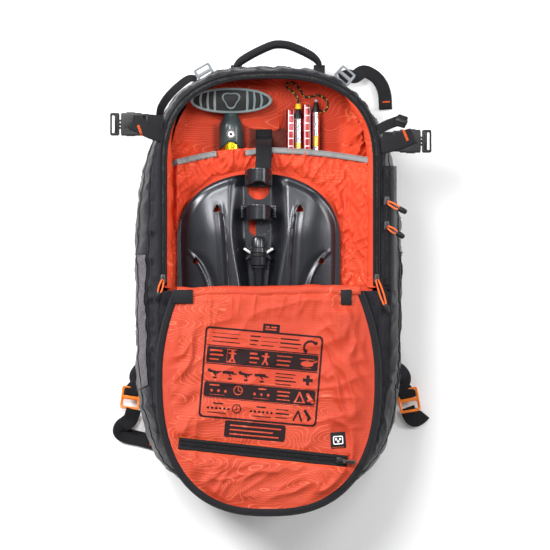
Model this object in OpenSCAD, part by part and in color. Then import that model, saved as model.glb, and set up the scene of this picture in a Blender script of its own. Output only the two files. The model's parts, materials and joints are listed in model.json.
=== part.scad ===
// Avalanche airbag backpack, lying on its back with the front compartment open.
// Millimetres. +X is the wearer's left side of the bag as it lies (right in plan), +Y runs to the top of
// the pack, +Z rises from the wearer's back out through the front. Z = 0 is the surface it lies on.

/* [Body] */
// Half the width of the pack body at its widest
body_half_w = 171; // [168:1:174]
// Reach of the body from the frame's centre to its top
body_top = 272; // [270:1:275]
// Reach of the body from the frame's centre to its base
body_base = 276; // [274:1:280]
// Height of the front face above the surface
front_z = 203; // [202:0.5:205]
// Thickness of the sewn fabric walls
wall_t = 3; // [2.6:0.2:3.2]

/* [Harness and frame] */
// Height taken up by the harness folded under the pack
harness_t = 14; // [14:0.5:15]
// Thickness of the foam back panel
back_t = 20; // [18:1:20]
// Width of a shoulder strap
strap_w = 62; // [56:1:64]

/* [Front opening] */
// Half the width of the U-shaped opening
open_half_w = 135; // [133:1:136]
// Y where the straight sides of the opening end and the arch begins
open_spring = 140; // [138:1:141]
// Rise of the arch above its springing
open_rise = 118; // [116:1:118]
// Width of the zip tape around the opening
zip_w = 8; // [7:0.5:8]

/* [Front panel] */
// Half the width of the panel at its widest
panel_half_w = 147; // [144:1:148]
// Y of the far end of the panel when it is folded down
panel_end = -311; // [-312:1:-306]
// Thickness of the panel
panel_t = 6; // [5:0.5:6]
// Width of the fabric binding around the panel
binding_w = 10; // [8:1:11]

/* [Tools] */
// Outer diameter of the shovel shaft
shaft_d = 28; // [27:0.2:28.2]
// Half the width of the shovel blade
blade_half_w = 106; // [102:1:106]
// Thickness of the blade sheet
blade_t = 2.2; // [1.8:0.1:2.4]
// Outer diameter of one probe section
probe_d = 11; // [10:0.5:11]
// Diameter of the probe's tension cord
cord_d = 3; // [2.6:0.2:3]

/* [Airbag system] */
// Diameter of the gas cylinder
cylinder_d = 60; // [50:1:62]
// Length of the gas cylinder without its neck
cylinder_l = 200; // [170:5:205]

/* [Hidden] */
$fn = 48;
eps = 0.01;

// body levels
body_x = -2;
back_top = harness_t + back_t;
sheet_t = 2;
stay_t = 4;
divider_z = 126;
lining_z = divider_z + 2;
lining_t = 1.5;
floor_z = lining_z + lining_t;
border_z = front_z - wall_t;
crown_power = 2.75;
heel_power = 4;
arch_power = 2.6;
// where the top, side and bottom fabric walls are sewn together
top_seam = 150;
base_seam = -235;

// panel hinge, in the fabric fold at the lower end of the opening
fold_y = -17.5;
panel_z = front_z + 1;
hinge_z = panel_z + panel_t - 1;
panel_top = panel_z + panel_t;
panel_gap = 2.5;
panel_wide_y = -130;
panel_fold_half_w = 124;
zip_end_y = -10;

// tools
shaft_x = -51;
shaft_z = 146.5;
grip_y = 230;
blade_x = -15;
blade_z = 168.7;
blade_shoulder_y = 47;
hoop_bore = shaft_d + 0.6;
hoop_d = hoop_bore + 3.6;
hoop_z = blade_z + blade_t + hoop_bore / 2 + 0.05;
hoop_foot = 13.6;   // within the flat of the channel
pocket_z = 163;
pocket_half_w = 128;
pocket_mouth = 167;
pocket_base = -228;

// airbag system
gas_x = 20;
gas_z = 85;
head_y = 57;
port_r = 9;
neck_r = port_r - 0.06;

// harness
cable_x = -75;
cable_y = 222;
cable_d = 5;

// ---------------------------------------------------------------- outlines

function signed_power(v, p) = sign(v) * pow(abs(v), p);

function body_point(a, inset) =
    let (power = sin(a) > 0 ? crown_power : heel_power,
         reach = sin(a) > 0 ? body_top : body_base)
    [body_x + (body_half_w - inset) * signed_power(cos(a), 2 / power),
     (reach - inset) * signed_power(sin(a), 2 / power)];

module body_outline(inset = 0) {
    polygon([for (a = [0:5:355]) body_point(a, inset)]);
}

function arch_point(a, grow) =
    [(open_half_w + grow) * signed_power(cos(a), 2 / arch_power),
     open_spring + (open_rise + grow) * signed_power(sin(a), 2 / arch_power)];

// the opening, squared off at y = low
module opening_outline(grow = 0, low = fold_y) {
    polygon(concat([for (a = [0:5:180]) arch_point(a, grow)],
                   [[-open_half_w - grow, low], [open_half_w + grow, low]]));
}

function panel_side(y) =
    panel_half_w - (panel_half_w - panel_fold_half_w)
    * pow((y - panel_wide_y) / (fold_y - panel_gap - panel_wide_y), 2);

module panel_outline(inset = 0) {
    fold_edge = fold_y - panel_gap;
    side_ys = [for (i = [0:5]) fold_edge + (panel_wide_y - fold_edge) * i / 6];
    arc = [for (a = [0:5:180])
        [body_x + (panel_half_w - inset) * signed_power(cos(a), 0.8),
         panel_wide_y + (panel_end + inset - panel_wide_y) * signed_power(sin(a), 0.8)]];
    polygon(concat([for (y = side_ys) [body_x + panel_side(y) - inset, y]], arc,
                   [for (i = [5:-1:0]) [body_x - panel_side(side_ys[i]) + inset, side_ys[i]]]));
}

module body_ring(low, high) {
    translate([0, 0, back_top]) linear_extrude(border_z - back_top) difference() {
        intersection() {
            body_outline();
            translate([-300, low]) square([600, high - low]);
        }
        body_outline(wall_t);
    }
}

// ---------------------------------------------------------------- helpers

// a strap laid through points, made of flat rounded lengths of webbing
module webbing(points, width, thick = 2) {
    for (i = [0:len(points) - 2]) hull() {
        translate(points[i]) cylinder(d = width, h = thick, $fn = 24);
        translate(points[i + 1]) cylinder(d = width, h = thick, $fn = 24);
    }
}

// a smooth route through hand-set points
function spline_at(p, i, t) =
    let (a = p[max(i - 1, 0)], b = p[i], c = p[i + 1], d = p[min(i + 2, len(p) - 1)])
    0.5 * (2 * b + (c - a) * t + (2 * a - 5 * b + 4 * c - d) * t * t
           + (3 * b - a - 3 * c + d) * t * t * t);
function spline(p, steps) =
    concat([for (i = [0:len(p) - 2]) for (s = [0:steps - 1]) spline_at(p, i, s / steps)],
           [p[len(p) - 1]]);
function unit(v) = v / norm(v);

module round_tube(route, d, up, sides = 8) {
    n = len(route);
    rings = [for (i = [0:n - 1])
        let (t = unit(route[min(i + 1, n - 1)] - route[max(i - 1, 0)]),
             u = unit(cross(up, t)), v = cross(t, u))
        for (k = [0:sides - 1])
            route[i] + d / 2 * (cos(360 * k / sides) * u + sin(360 * k / sides) * v)];
    skin = [for (i = [0:n - 2]) for (k = [0:sides - 1])
        let (m = (k + 1) % sides)
        [i * sides + k, (i + 1) * sides + k, (i + 1) * sides + m, i * sides + m]];
    polyhedron(rings, concat(skin, [[for (k = [0:sides - 1]) k]],
                             [[for (k = [sides - 1:-1:0]) (n - 1) * sides + k]]));
}

// ---------------------------------------------------------------- body

module back_panel() {
    color("#26282c") difference() {
        translate([0, 0, harness_t]) linear_extrude(back_t) body_outline();
        // air channel down the spine
        translate([-20, -300, harness_t - 1]) cube([40, 600, 9]);
        translate([cable_x, cable_y, harness_t - 1]) cylinder(d = 11, h = back_t + 2);
    }
}

module frame_sheet() {
    color("#d8dadc") difference() {
        translate([0, 0, back_top]) linear_extrude(sheet_t) body_outline(8);
        translate([cable_x, cable_y, back_top - 1]) cylinder(d = 11, h = sheet_t + 2);
    }
}

module frame_stays() {
    color("#b9bdc2") for (x = [-42, 38])
        translate([x - 9, -225, back_top + sheet_t]) cube([18, 425, stay_t]);
}

module side_wall_left() {
    color("#2b2e35") intersection() {
        body_ring(base_seam, top_seam);
        translate([-300, -300, 0]) cube([300, 600, 300]);
    }
}

module side_wall_right() {
    color("#2b2e35") intersection() {
        body_ring(base_seam, top_seam);
        translate([0, -300, 0]) cube([300, 600, 300]);
    }
}

module airbag_cover() {
    color("#2f323a") body_ring(top_seam, 300);
}

module bottom_wall() {
    color("#24262b") body_ring(-300, base_seam);
}

module front_border() {
    // the whole front face, with the U of the opening cut out above the panel's fold
    color("#2b2e35") translate([0, 0, border_z]) linear_extrude(wall_t) difference() {
        body_outline();
        opening_outline(0, fold_y);
    }
}

module zip_band(inner, outer, high) {
    linear_extrude(high) difference() {
        opening_outline(outer, zip_end_y);
        opening_outline(inner, zip_end_y - 50);
    }
}

module main_zip() {
    color("#15161a") {
        translate([0, 0, front_z]) zip_band(0, zip_w, 2);
        translate([0, 0, front_z]) zip_band(2, 5, 4);
    }
}

module divider() {
    color("#c8502c") translate([0, 0, divider_z]) linear_extrude(2) body_outline(4);
}

module front_lining() {
    color("#e2502a") {
        translate([0, 0, lining_z]) linear_extrude(lining_t) body_outline(4);
        translate([0, 0, floor_z - eps]) linear_extrude(border_z - floor_z) difference() {
            body_outline(4);
            body_outline(4 + lining_t);
        }
    }
}

// ---------------------------------------------------------------- inside the front compartment

module inner_pocket() {
    depth = pocket_z - floor_z;
    color("#e2502a") {
        translate([-pocket_half_w, pocket_base, pocket_z])
            cube([2 * pocket_half_w, pocket_mouth - pocket_base, 2]);
        for (x = [-pocket_half_w, pocket_half_w - 2])
            translate([x, pocket_base, floor_z]) cube([2, 360, depth]);
        translate([-pocket_half_w, pocket_base, floor_z]) cube([2 * pocket_half_w, 2, depth]);
    }
}

module pocket_binding() {
    color("#8f9096") translate([-pocket_half_w, pocket_mouth - 8, pocket_z + 2])
        cube([2 * pocket_half_w, 8, 1.5]);
}

module top_flap() {
    flap = [[-112, 222], [-96, 208], [-40, 196], [-16, 191], [12, 193], [20, 205], [26, 232],
            [0, 248], [-70, 240]];
    color("#e2502a") translate([0, 0, floor_z]) linear_extrude(0.9) polygon(flap);
}

module retaining_strap() {
    // from the divider, up over the pocket's mouth to the upper hoop of the blade
    color("#1b1c20") webbing([[-8, 182, floor_z], [-8, 176, 169], [-8, 160, 182],
                              [-10, 151, 186]], 14);
}

// ---------------------------------------------------------------- airbag system

module airbag() {
    color("#e8702a") difference() {
        union() {
            translate([0, 0, 62]) linear_extrude(58) difference() {
                body_outline(12);
                body_outline(60);
                translate([-300, -300]) square([600, 300]);
            }
            translate([gas_x, 190, gas_z]) rotate([-90, 0, 0]) cylinder(d = 54, h = 30);
        }
        translate([gas_x, 180, gas_z]) rotate([-90, 0, 0]) cylinder(d = 44.6, h = 29);
    }
}

module inflator_head() {
    color("#3a3d42") difference() {
        union() {
            translate([gas_x - 35, head_y, gas_z - 25]) cube([70, 43, 50]);
            translate([gas_x, head_y + 43, gas_z]) rotate([-90, 0, 0]) cylinder(d = 44, h = 106);
            translate([gas_x, head_y - 9, gas_z]) rotate([-90, 0, 0]) cylinder(d = 40, h = 9);
        }
        translate([gas_x, head_y + 12, gas_z]) rotate([-90, 0, 0]) cylinder(d = 36, h = 160);
        translate([gas_x, head_y - 10, gas_z]) rotate([-90, 0, 0]) cylinder(r = port_r, h = 30);
        translate([gas_x - 28, head_y + 43 - 14, gas_z]) rotate([-90, 0, 0])
            cylinder(d = cable_d + 0.6, h = 15);
    }
}

module gas_cylinder() {
    r = cylinder_d / 2;
    // profile from the round base to the threaded neck, turned about the cylinder's axis
    profile = concat([[0, 0]], [for (a = [0:10:90]) [r - 14 + 14 * sin(a), 14 - 14 * cos(a)]],
                     [for (a = [0:15:90]) [14 + (r - 14) * cos(a), cylinder_l - 20 + 20 * sin(a)]],
                     [[14, cylinder_l + 6], [neck_r, cylinder_l + 6], [neck_r, cylinder_l + 22],
                      [0, cylinder_l + 22]]);
    color("#b8bcc0") translate([gas_x, head_y - 15.5 - cylinder_l, gas_z]) rotate([-90, 0, 0])
        rotate_extrude($fn = 64) polygon(profile);
}

// ---------------------------------------------------------------- trigger

cable_route = [
    [gas_x - 28, head_y + 30, gas_z], [gas_x - 28, head_y + 45, gas_z], [-12, 112, 84],
    [-25, 135, 78], [-50, 165, 66], [-68, 192, 54], [-74, 212, 44], [cable_x, 221, 34],
    [cable_x, 223, 24], [cable_x, 220, 14], [cable_x, 210, 8.5], [cable_x, 195, 7],
    [cable_x, 170, 7], [cable_x, 145, 7], [cable_x, 122, 7], [cable_x, 102, 7], [cable_x, 86, 7]
];

module trigger_cable() {
    color("#17181b") round_tube(spline(cable_route, 3), cable_d, [1, 0, 0]);
}

module trigger_handle() {
    color("#c8102e") difference() {
        union() {
            translate([cable_x - 15, 20, 1]) cube([30, 50, 10]);
            translate([cable_x - 7, 70, 2]) cube([14, 12, 8]);
        }
        translate([cable_x - 8, 27, 0]) cube([16, 30, 12]);
    }
}

// ---------------------------------------------------------------- harness

function strap_centre(y) = -66 - 16 * sin((y + 20) * 180 / 245);

module shoulder_strap(side) {
    ys = [for (i = [0:12]) -20 + 20.5 * i];
    near = [for (y = ys) [side * (strap_centre(y) - strap_w / 2), y]];
    far = [for (i = [12:-1:0]) [side * (strap_centre(ys[i]) + strap_w / 2), ys[i]]];
    linear_extrude(harness_t - 0.5) polygon(concat(near, far));
}

module shoulder_straps() {
    color("#202226") {
        difference() {
            shoulder_strap(1);
            // the trigger lies in a recess of the strap's outer face, with its cable in a groove
            translate([cable_x - 17, -14, -1]) cube([34, 101, 13]);
            translate([cable_x - 3.2, 80, 3.8]) cube([6.4, 170, 20]);
        }
        shoulder_strap(-1);
    }
}

module lumbar_pad() {
    color("#202226") translate([-70, -262, 0]) cube([140, 86, harness_t]);
}

module hip_wings() {
    // padded fins folded in under the pack, with their belt webbing
    color("#26282c") for (s = [-1, 1]) {
        outline = [[s * 72, -258], [s * 130, -244], [s * 136, -228], [s * 130, -206], [s * 72, -180]];
        linear_extrude(harness_t - 0.5) polygon(outline);
    }
}

module buckle_socket(w = 30) {
    // open shell that the plug's two arms snap into, along +X
    difference() {
        translate([0, -w / 2, 0]) cube([26, w, 9]);
        translate([-1, -w / 2 + 3, 2]) cube([24, w - 6, 5]);
        for (s = [-1, 1]) translate([8, s * (w / 2 - 1.5) - 2, 2]) cube([10, 4, 5]);
    }
    // webbing bar
    difference() {
        translate([26, -w / 2, 2]) cube([10, w, 5]);
        translate([27.5, -w / 2 + 4, 1]) cube([4, w - 8, 7]);
    }
}

module buckle_plug(w = 30) {
    for (s = [-1, 1]) translate([-2, s * (w / 2 - 7) - 1.6, 2.6]) cube([22, 3.2, 3.8]);
    translate([-2, -1.5, 2.6]) cube([18, 3, 3.8]);
    difference() {
        translate([-14, -w / 2, 0.5]) cube([12, w, 8]);
        translate([-11, -w / 2 + 4, -1]) cube([4, w - 8, 12]);
    }
}

module hip_buckle_socket() {
    color("#17181b") translate([0, -120, 1]) buckle_socket();
}

module hip_buckle_plug() {
    color("#17181b") translate([0, -120, 1]) buckle_plug();
}

module strap_webbing() {
    // lower ends of the shoulder straps, the belt webbing and its keepers
    color("#17181b") {
        for (s = [-1, 1]) webbing([[s * 66, -30, 4], [s * 90, -90, 4], [s * 120, -168, 4]], 18);
        webbing([[47, -120, 4.5], [80, -128, 4.5]], 18);
        webbing([[-50, -120, 4.5], [-72, -128, 4.5]], 18);
    }
}

module sternum_strap() {
    color("#17181b") {
        translate([0, 150, 1]) buckle_socket(22);
        translate([36, 141, 4]) cube([6, 18, 2]);
    }
}

module sternum_plug() {
    color("#17181b") {
        translate([0, 150, 1]) buckle_plug(22);
        translate([-26, 141, 4]) cube([12, 18, 2]);
    }
}

module ladder_lock(w = 26, l = 24) {
    difference() {
        translate([-w / 2, -l / 2, 0]) cube([w, l, 4]);
        translate([-w / 2 + 3.5, -l / 2 + 3, -1]) cube([w - 7, 4.5, 6]);
        translate([-w / 2 + 3.5, 2.5, -1]) cube([w - 7, 6, 6]);
    }
    // the bar that the lock tilts about
    translate([-w / 2, 0, 2]) rotate([0, 90, 0]) cylinder(d = 5, h = w);
}

module load_lifters() {
    color("#1b1c20") {
        translate([0, 0, 20]) linear_extrude(16)
            polygon([[-100, 259], [-104, 264], [-126, 251], [-147, 226], [-148, 206], [-143.5, 206],
                     [-142.5, 224], [-123, 247]]);
        webbing([[112, 264, 24], [124, 272, 14], [142, 262, 8], [150, 247, 4], [153, 222, 2]], 18);
    }
}

module lifter_lock_left() {
    color("#8d9095") translate([-87, 270, 26]) rotate([0, 0, 30]) ladder_lock(24, 20);
}

module lifter_lock_right() {
    color("#8d9095") translate([99, 266, 30]) rotate([0, 0, -40]) ladder_lock(24, 20);
}

// ---------------------------------------------------------------- side straps

upper_left = [-162, 198, 196];
upper_right = [164, 176, 196];

module upper_straps() {
    color("#1b1c20") {
        webbing([[-147, 198, front_z + 0.4], [-153, 198, front_z + 0.2], [-160, 198, 200.5]], 20);
        webbing([[152, 176, front_z + 0.4], [159, 176, front_z + 0.2], [166, 176, 200.5]], 20);
    }
}

module upper_buckle_sockets() {
    color("#17181b") {
        translate(upper_left + [-32, 0, 0]) buckle_socket();
        translate(upper_right + [32, 0, 0]) rotate([0, 0, 180]) buckle_socket();
    }
}

module upper_plug_left() {
    color("#17181b") translate(upper_left + [-32, 0, 0]) buckle_plug();
}

module upper_plug_right() {
    color("#17181b") translate(upper_right + [32, 0, 0]) rotate([0, 0, 180]) buckle_plug();
}

module lower_straps() {
    color("#1b1c20") {
        webbing([[-181, -190, 6], [-198, -190, 4], [-200, -196, 0.2], [-150, -222, 0.2]], 20);
        webbing([[188, -197, 4], [200.6, -182, 0.2]], 20);
        // the sewn ends that hold the ladder locks, coming out from under the back panel
        webbing([[-179, -135, 12], [-150, -135, 12]], 14);
        webbing([[179, -137, 12], [150, -137, 12]], 14);
    }
}

module lower_lock_left() {
    color("#f07818") translate([-185, -161, 12]) rotate([0, 0, -8]) ladder_lock(26, 30);
}

module lower_lock_right() {
    color("#f07818") translate([184, -164, 12]) rotate([0, 0, 10]) ladder_lock(28, 32);
}

// ---------------------------------------------------------------- zips and sliders

module slider_body() {
    difference() {
        translate([-4.5, -6, 0]) cube([9, 12, 4]);
        translate([-5, -1.5, 1.5]) cube([10, 3, 1.2]);
    }
}

module side_zip() {
    color("#15161a") {
        translate([148, -12, front_z]) cube([8, 150, 1.5]);
        translate([150.5, -12, front_z]) cube([3, 150, 2.6]);
    }
}

module side_slider(tip) {
    color("#d85a20") slider_at([152, 0, front_z + 2.9], tip);
}

// a slider with its cord loop and moulded grip, which reaches to tip
module slider_at(place, tip) {
    translate(place) slider_body();
    hull() {
        translate(place + [0, 0, 0.8]) cylinder(d = 4, h = 2.4, $fn = 16);
        translate(place + tip) cylinder(d = 5, h = 2.6, $fn = 16);
    }
}

module side_slider_upper() {
    translate([0, 98, 0]) side_slider([22, -12, 0.8]);
}

module side_slider_lower() {
    translate([0, 66, 0]) side_slider([19, -12, 0.8]);
}

module main_slider_left() {
    color("#3a3a3c") slider_at([-139, -3, front_z + 4.3], [-7, -24, 0.6]);
}

module main_slider_right() {
    color("#3a3a3c") slider_at([139, -3, front_z + 4.3], [13, -40, 0.6]);
}

// ---------------------------------------------------------------- haul handle

handle_y = 278;
handle_z = 56;

module haul_handle() {
    outer = [[-49, handle_y], [-48, 285], [-38, 294], [-10, 307], [16, 311], [40, 307], [61, 295],
             [69, 285], [70, handle_y]];
    inner = [[60, handle_y], [59, 283], [54, 288], [37, 297], [16, 300.5], [-6, 297], [-31, 287],
             [-38, 282], [-39, handle_y]];
    color("#26272b") {
        translate([0, 0, handle_z - 8]) linear_extrude(16) polygon(concat(outer, inner));
        for (x = [-49, 60]) translate([x, handle_y, handle_z]) rotate([0, 90, 0])
            cylinder(d = 13, h = 10);
    }
}

// ---------------------------------------------------------------- front panel

panel_zip_from = [98, -240, 0];
panel_zip_angle = 173.8;
panel_zip_l = 216;
bridge_h = 6.3;

module front_panel() {
    color("#ee5a2c") translate([0, 0, panel_z]) linear_extrude(panel_t)
        intersection() {
            panel_outline(binding_w);
            translate([-300, panel_end - 5]) square([600, fold_y - panel_gap - panel_end + 5]);
        }
}

module panel_binding() {
    color("#17181b") translate([0, 0, panel_z - 0.3]) linear_extrude(panel_t + 0.9) difference() {
        panel_outline();
        panel_outline(binding_w);
    }
}

module on_panel_zip(along, up) {
    translate(panel_zip_from + [0, 0, panel_top + up]) rotate([0, 0, panel_zip_angle])
        translate([along, 0, 0]) children();
}

module panel_zip() {
    color("#17181b") {
        on_panel_zip(0, 0) translate([0, -6.5, 0]) cube([panel_zip_l, 13, 1]);
        on_panel_zip(0, 0) translate([0, -1.6, 0]) cube([panel_zip_l, 3.2, 2]);
    }
}

module panel_tag() {
    color("#1b1c20") translate([84, -207, panel_top]) rotate([0, 0, 4])
        translate([-12.5, -17, 0]) cube([25, 34, 1.6]);
}

module panel_tabs() {
    color("#1b1c20") {
        // the wide tab laps over the binding at the corner of the panel
        translate([-126, fold_y - panel_gap - 15, panel_top + 0.61]) cube([26, 15, 1.4]);
        translate([-115, fold_y - panel_gap - 15, panel_top]) cube([15, 15, 1]);
        translate([92, fold_y - panel_gap - 17, panel_top]) cube([13, 17, 1.6]);
    }
}

module panel_zip_slider() {
    color("#3a3a3c") on_panel_zip(6, 2.3) {
        rotate([0, 0, 90]) slider_body();
        for (y = [-3, 2]) translate([-5, y, 3.9]) cube([2.4, 1, bridge_h - 2.8]);
        translate([-3.8, 0, bridge_h]) rotate([90, 0, 0]) cylinder(d = 1.6, h = 5, center = true);
    }
}

module panel_zip_pull() {
    // a flat pull with an eye, turning on the slider's bridge
    color("#6f675c") on_panel_zip(2.2, 2.3 + bridge_h) difference() {
        union() {
            rotate([90, 0, 0]) cylinder(d = 3.6, h = 3, center = true);
            translate([-4, -1.5, -1.5]) cube([3, 3, 2.2]);
            translate([-16, -2.5, -1.5]) cube([12.5, 5, 2.2]);
        }
        rotate([90, 0, 0]) cylinder(d = 2, h = 8, center = true);
    }
}

// ---------------------------------------------------------------- shovel

// height of the blade's crown at distance d from its centre line
function blade_rise(d) =
    let (s = min(max((d - 16) / 24, 0), 1), fall = max(d - 62, 0) / 44)
    18 * s * s * (3 - 2 * s) - 11 * fall * fall;

function blade_edge(a) =
    [blade_half_w * signed_power(cos(a), 2 / 2.2), blade_shoulder_y + 87 * pow(abs(sin(a)), 2 / 2.2)];

module blade_outline() {
    polygon(concat([for (a = [0:7.5:180]) blade_edge(a)],
                   [for (i = [-10:10])
                       [i * blade_half_w / 10.4, -142 + 34 * pow(abs(i) / 10, 3)]]));
}

module blade_section() {
    ds = [for (i = [-24:24]) i * 110 / 24];
    polygon(concat([for (d = ds) [d, blade_rise(abs(d))]],
                   [for (i = [48:-1:0]) [ds[i], blade_rise(abs(ds[i])) + blade_t]]));
}

// a band for the shaft, standing on the flat channel down the middle of the blade
module hoop(y, l) {
    translate([blade_x, y, 0]) difference() {
        union() {
            translate([0, 0, hoop_z]) rotate([-90, 0, 0]) cylinder(d = hoop_d, h = l);
            translate([-hoop_foot, 0, blade_z + blade_t]) cube([2 * hoop_foot, l, 5]);
        }
        translate([0, -1, hoop_z]) rotate([-90, 0, 0]) cylinder(d = hoop_bore, h = l + 2);
        translate([-7, -1, blade_z - 5]) cube([14, l + 2, blade_t + 7.6]);
        translate([-30, -1, blade_z - 5]) cube([60, l + 2, blade_t + 5]);
    }
}

module shovel_blade() {
    color("#33363b") translate([blade_x, 0, blade_z]) difference() {
        union() {
            intersection() {
                translate([0, 160, 0]) rotate([90, 0, 0]) linear_extrude(320) blade_section();
                translate([0, 0, -1]) linear_extrude(60) blade_outline();
            }
            // closed end of the socket
            translate([0, 12, 12.6]) rotate([-90, 0, 0]) cylinder(d = 25, h = 50);
        }
        // lightening holes in the shoulders
        for (s = [-1, 1]) {
            translate([s * 54, 88, -5]) rotate([0, 0, 90]) cylinder(r = 7, h = 60, $fn = 3);
            translate([s * 82, 20, -5]) rotate([0, 0, 90]) cylinder(r = 6, h = 60, $fn = 3);
        }
    }
}

module blade_hoops() {
    color("#33363b") {
        hoop(118, 22);
        hoop(74, 19);
    }
}

grip_half_l = 54;
grip_half_h = 17;

module shovel_grip() {
    bar = [for (a = [0:7.5:352.5]) [grip_half_l * signed_power(cos(a), 0.92), grip_half_h * sin(a)]];
    color("#3f4a4a") translate([shaft_x, 0, shaft_z]) difference() {
        union() {
            translate([0, grip_y, -12.5]) linear_extrude(25) polygon(bar);
            translate([0, 166, 0]) rotate([-90, 0, 0]) cylinder(d = 32, h = 40);
            translate([0, 205, 0]) rotate([-90, 0, 0]) cylinder(d1 = 32, d2 = 19, h = 16);
        }
        // the socket that the shaft is pinned in, with an arched cut-out at its mouth
        translate([0, 150, 0]) rotate([-90, 0, 0]) cylinder(d = shaft_d + 0.4, h = 50);
        translate([0, 166, 0]) cylinder(d = 24, h = 30);
        translate([0, 186, 0]) cylinder(d = 8.4, h = 30);
    }
}

module shovel_shaft() {
    color("#e0a818") translate([shaft_x, -92, shaft_z]) difference() {
        rotate([-90, 0, 0]) cylinder(d = shaft_d, h = 290);
        translate([0, -1, 0]) rotate([-90, 0, 0]) cylinder(d = shaft_d - 3.2, h = 292);
        translate([0, 278, 0]) cylinder(d = 8.4, h = 30);
    }
}

module shaft_button() {
    color("#c9ccd0") translate([shaft_x, 186, shaft_z + 8]) cylinder(d = 8, h = 8.1);
}

// ---------------------------------------------------------------- probe

probe_front_z = 151;
probe_back_z = 138;
// front-row places, and the y of each section's upper end
probe_red = [[26.6, 218], [48, 225]];
probe_silver = [[36.9, 207], [60.2, 216]];

module probe_section(x, z, top, d, l) {
    translate([x, top - l, z]) rotate([-90, 0, 0]) cylinder(d = d, h = l);
}

module probe_tubes() {
    color("#7c1620") {
        for (p = probe_red) probe_section(p[0], probe_front_z, p[1], probe_d, 400);
        for (x = [32, 44, 56]) probe_section(x, probe_back_z, 214, probe_d, 400);
    }
}

module probe_tips() {
    color("#c4c8cc") {
        for (p = probe_silver) probe_section(p[0], probe_front_z, p[1], 9, 390);
        for (p = probe_silver) translate([p[0], p[1], probe_front_z]) rotate([-90, 0, 0])
            cylinder(d1 = 9, d2 = 5, h = 12);
        translate([36.9, 219, probe_front_z]) rotate([-90, 0, 0]) cylinder(d = 8, h = 7);
        translate([60.2, 228, probe_front_z]) rotate([-90, 0, 0]) cylinder(d = 6, h = 4);
    }
}

cord_route = [
    [36.9, 226, 151], [36.5, 231, 150.6], [33, 238, 148.5], [27, 244, 144], [22, 248, 139],
    [22.5, 253, 135], [30, 254, 133], [37, 248, 132], [42, 240, 131.3], [48, 235, 131.3],
    [55, 236, 131.3], [63, 237.5, 131.3], [70, 235, 131.3], [75, 229, 131.3], [75.5, 222, 131.3],
    [71.5, 217, 131.5], [67, 216.5, 132]
];

module probe_cord() {
    color("#2a2a22") round_tube(spline(cord_route, 2), cord_d, [0.12, 0.07, 1]);
}

module cord_knot() {
    color("#2a2a22") translate(cord_route[len(cord_route) - 1] + [-2.4, 0, 1]) sphere(d = 7);
}

// ---------------------------------------------------------------- assembly

back_panel();
frame_sheet();
frame_stays();
side_wall_left();
side_wall_right();
airbag_cover();
bottom_wall();
front_border();
main_zip();
divider();
front_lining();
inner_pocket();
pocket_binding();
top_flap();
retaining_strap();
airbag();
inflator_head();
gas_cylinder();
trigger_cable();
trigger_handle();
lumbar_pad();
hip_wings();
hip_buckle_socket();
hip_buckle_plug();
shoulder_straps();
strap_webbing();
sternum_strap();
sternum_plug();
load_lifters();
lifter_lock_left();
lifter_lock_right();
upper_straps();
upper_buckle_sockets();
upper_plug_left();
upper_plug_right();
lower_straps();
lower_lock_left();
lower_lock_right();
side_zip();
side_slider_upper();
side_slider_lower();
haul_handle();
front_panel();
panel_binding();
panel_zip();
panel_tag();
panel_tabs();
panel_zip_slider();
panel_zip_pull();
main_slider_left();
main_slider_right();
shovel_blade();
blade_hoops();
shovel_grip();
shovel_shaft();
shaft_button();
probe_tubes();
probe_tips();
probe_cord();
cord_knot();
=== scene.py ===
"""The looks of an avalanche airbag backpack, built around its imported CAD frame.

Lengths are in millimetres until a mesh is made, in the frame's own axes: +X right, +Y to the top of the
pack, +Z up from the surface that it lies on.
"""

import json
import math

import bpy
import bmesh
import numpy as np
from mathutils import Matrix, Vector, noise
from mathutils.bvhtree import BVHTree

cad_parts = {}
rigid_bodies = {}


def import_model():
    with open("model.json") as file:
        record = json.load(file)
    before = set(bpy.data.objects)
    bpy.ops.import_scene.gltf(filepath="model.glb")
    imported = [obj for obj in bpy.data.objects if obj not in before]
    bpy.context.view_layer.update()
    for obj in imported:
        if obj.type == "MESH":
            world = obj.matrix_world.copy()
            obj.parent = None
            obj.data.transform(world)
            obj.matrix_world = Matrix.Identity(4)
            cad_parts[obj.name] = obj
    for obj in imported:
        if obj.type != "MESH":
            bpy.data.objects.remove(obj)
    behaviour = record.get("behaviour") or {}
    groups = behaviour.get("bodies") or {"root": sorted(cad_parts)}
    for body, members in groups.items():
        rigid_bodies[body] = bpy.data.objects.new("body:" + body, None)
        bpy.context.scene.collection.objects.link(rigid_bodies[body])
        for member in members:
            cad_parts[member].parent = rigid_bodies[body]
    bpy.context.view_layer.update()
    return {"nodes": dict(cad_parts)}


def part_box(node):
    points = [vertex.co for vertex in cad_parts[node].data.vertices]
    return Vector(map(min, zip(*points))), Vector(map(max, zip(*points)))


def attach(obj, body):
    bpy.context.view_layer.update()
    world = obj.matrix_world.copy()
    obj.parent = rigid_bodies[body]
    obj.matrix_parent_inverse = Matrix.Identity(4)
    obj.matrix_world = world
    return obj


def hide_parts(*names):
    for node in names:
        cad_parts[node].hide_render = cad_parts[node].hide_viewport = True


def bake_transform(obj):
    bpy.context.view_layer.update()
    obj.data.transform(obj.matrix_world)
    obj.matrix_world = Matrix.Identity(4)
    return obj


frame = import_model()
MM = 0.001


# ------------------------------------------------------------------ sizes, from the frame

def node_box(name):
    """Lowest and highest corner of a CAD node, in millimetres."""
    low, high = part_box(name)
    return np.array(low) / MM, np.array(high) / MM


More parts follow.
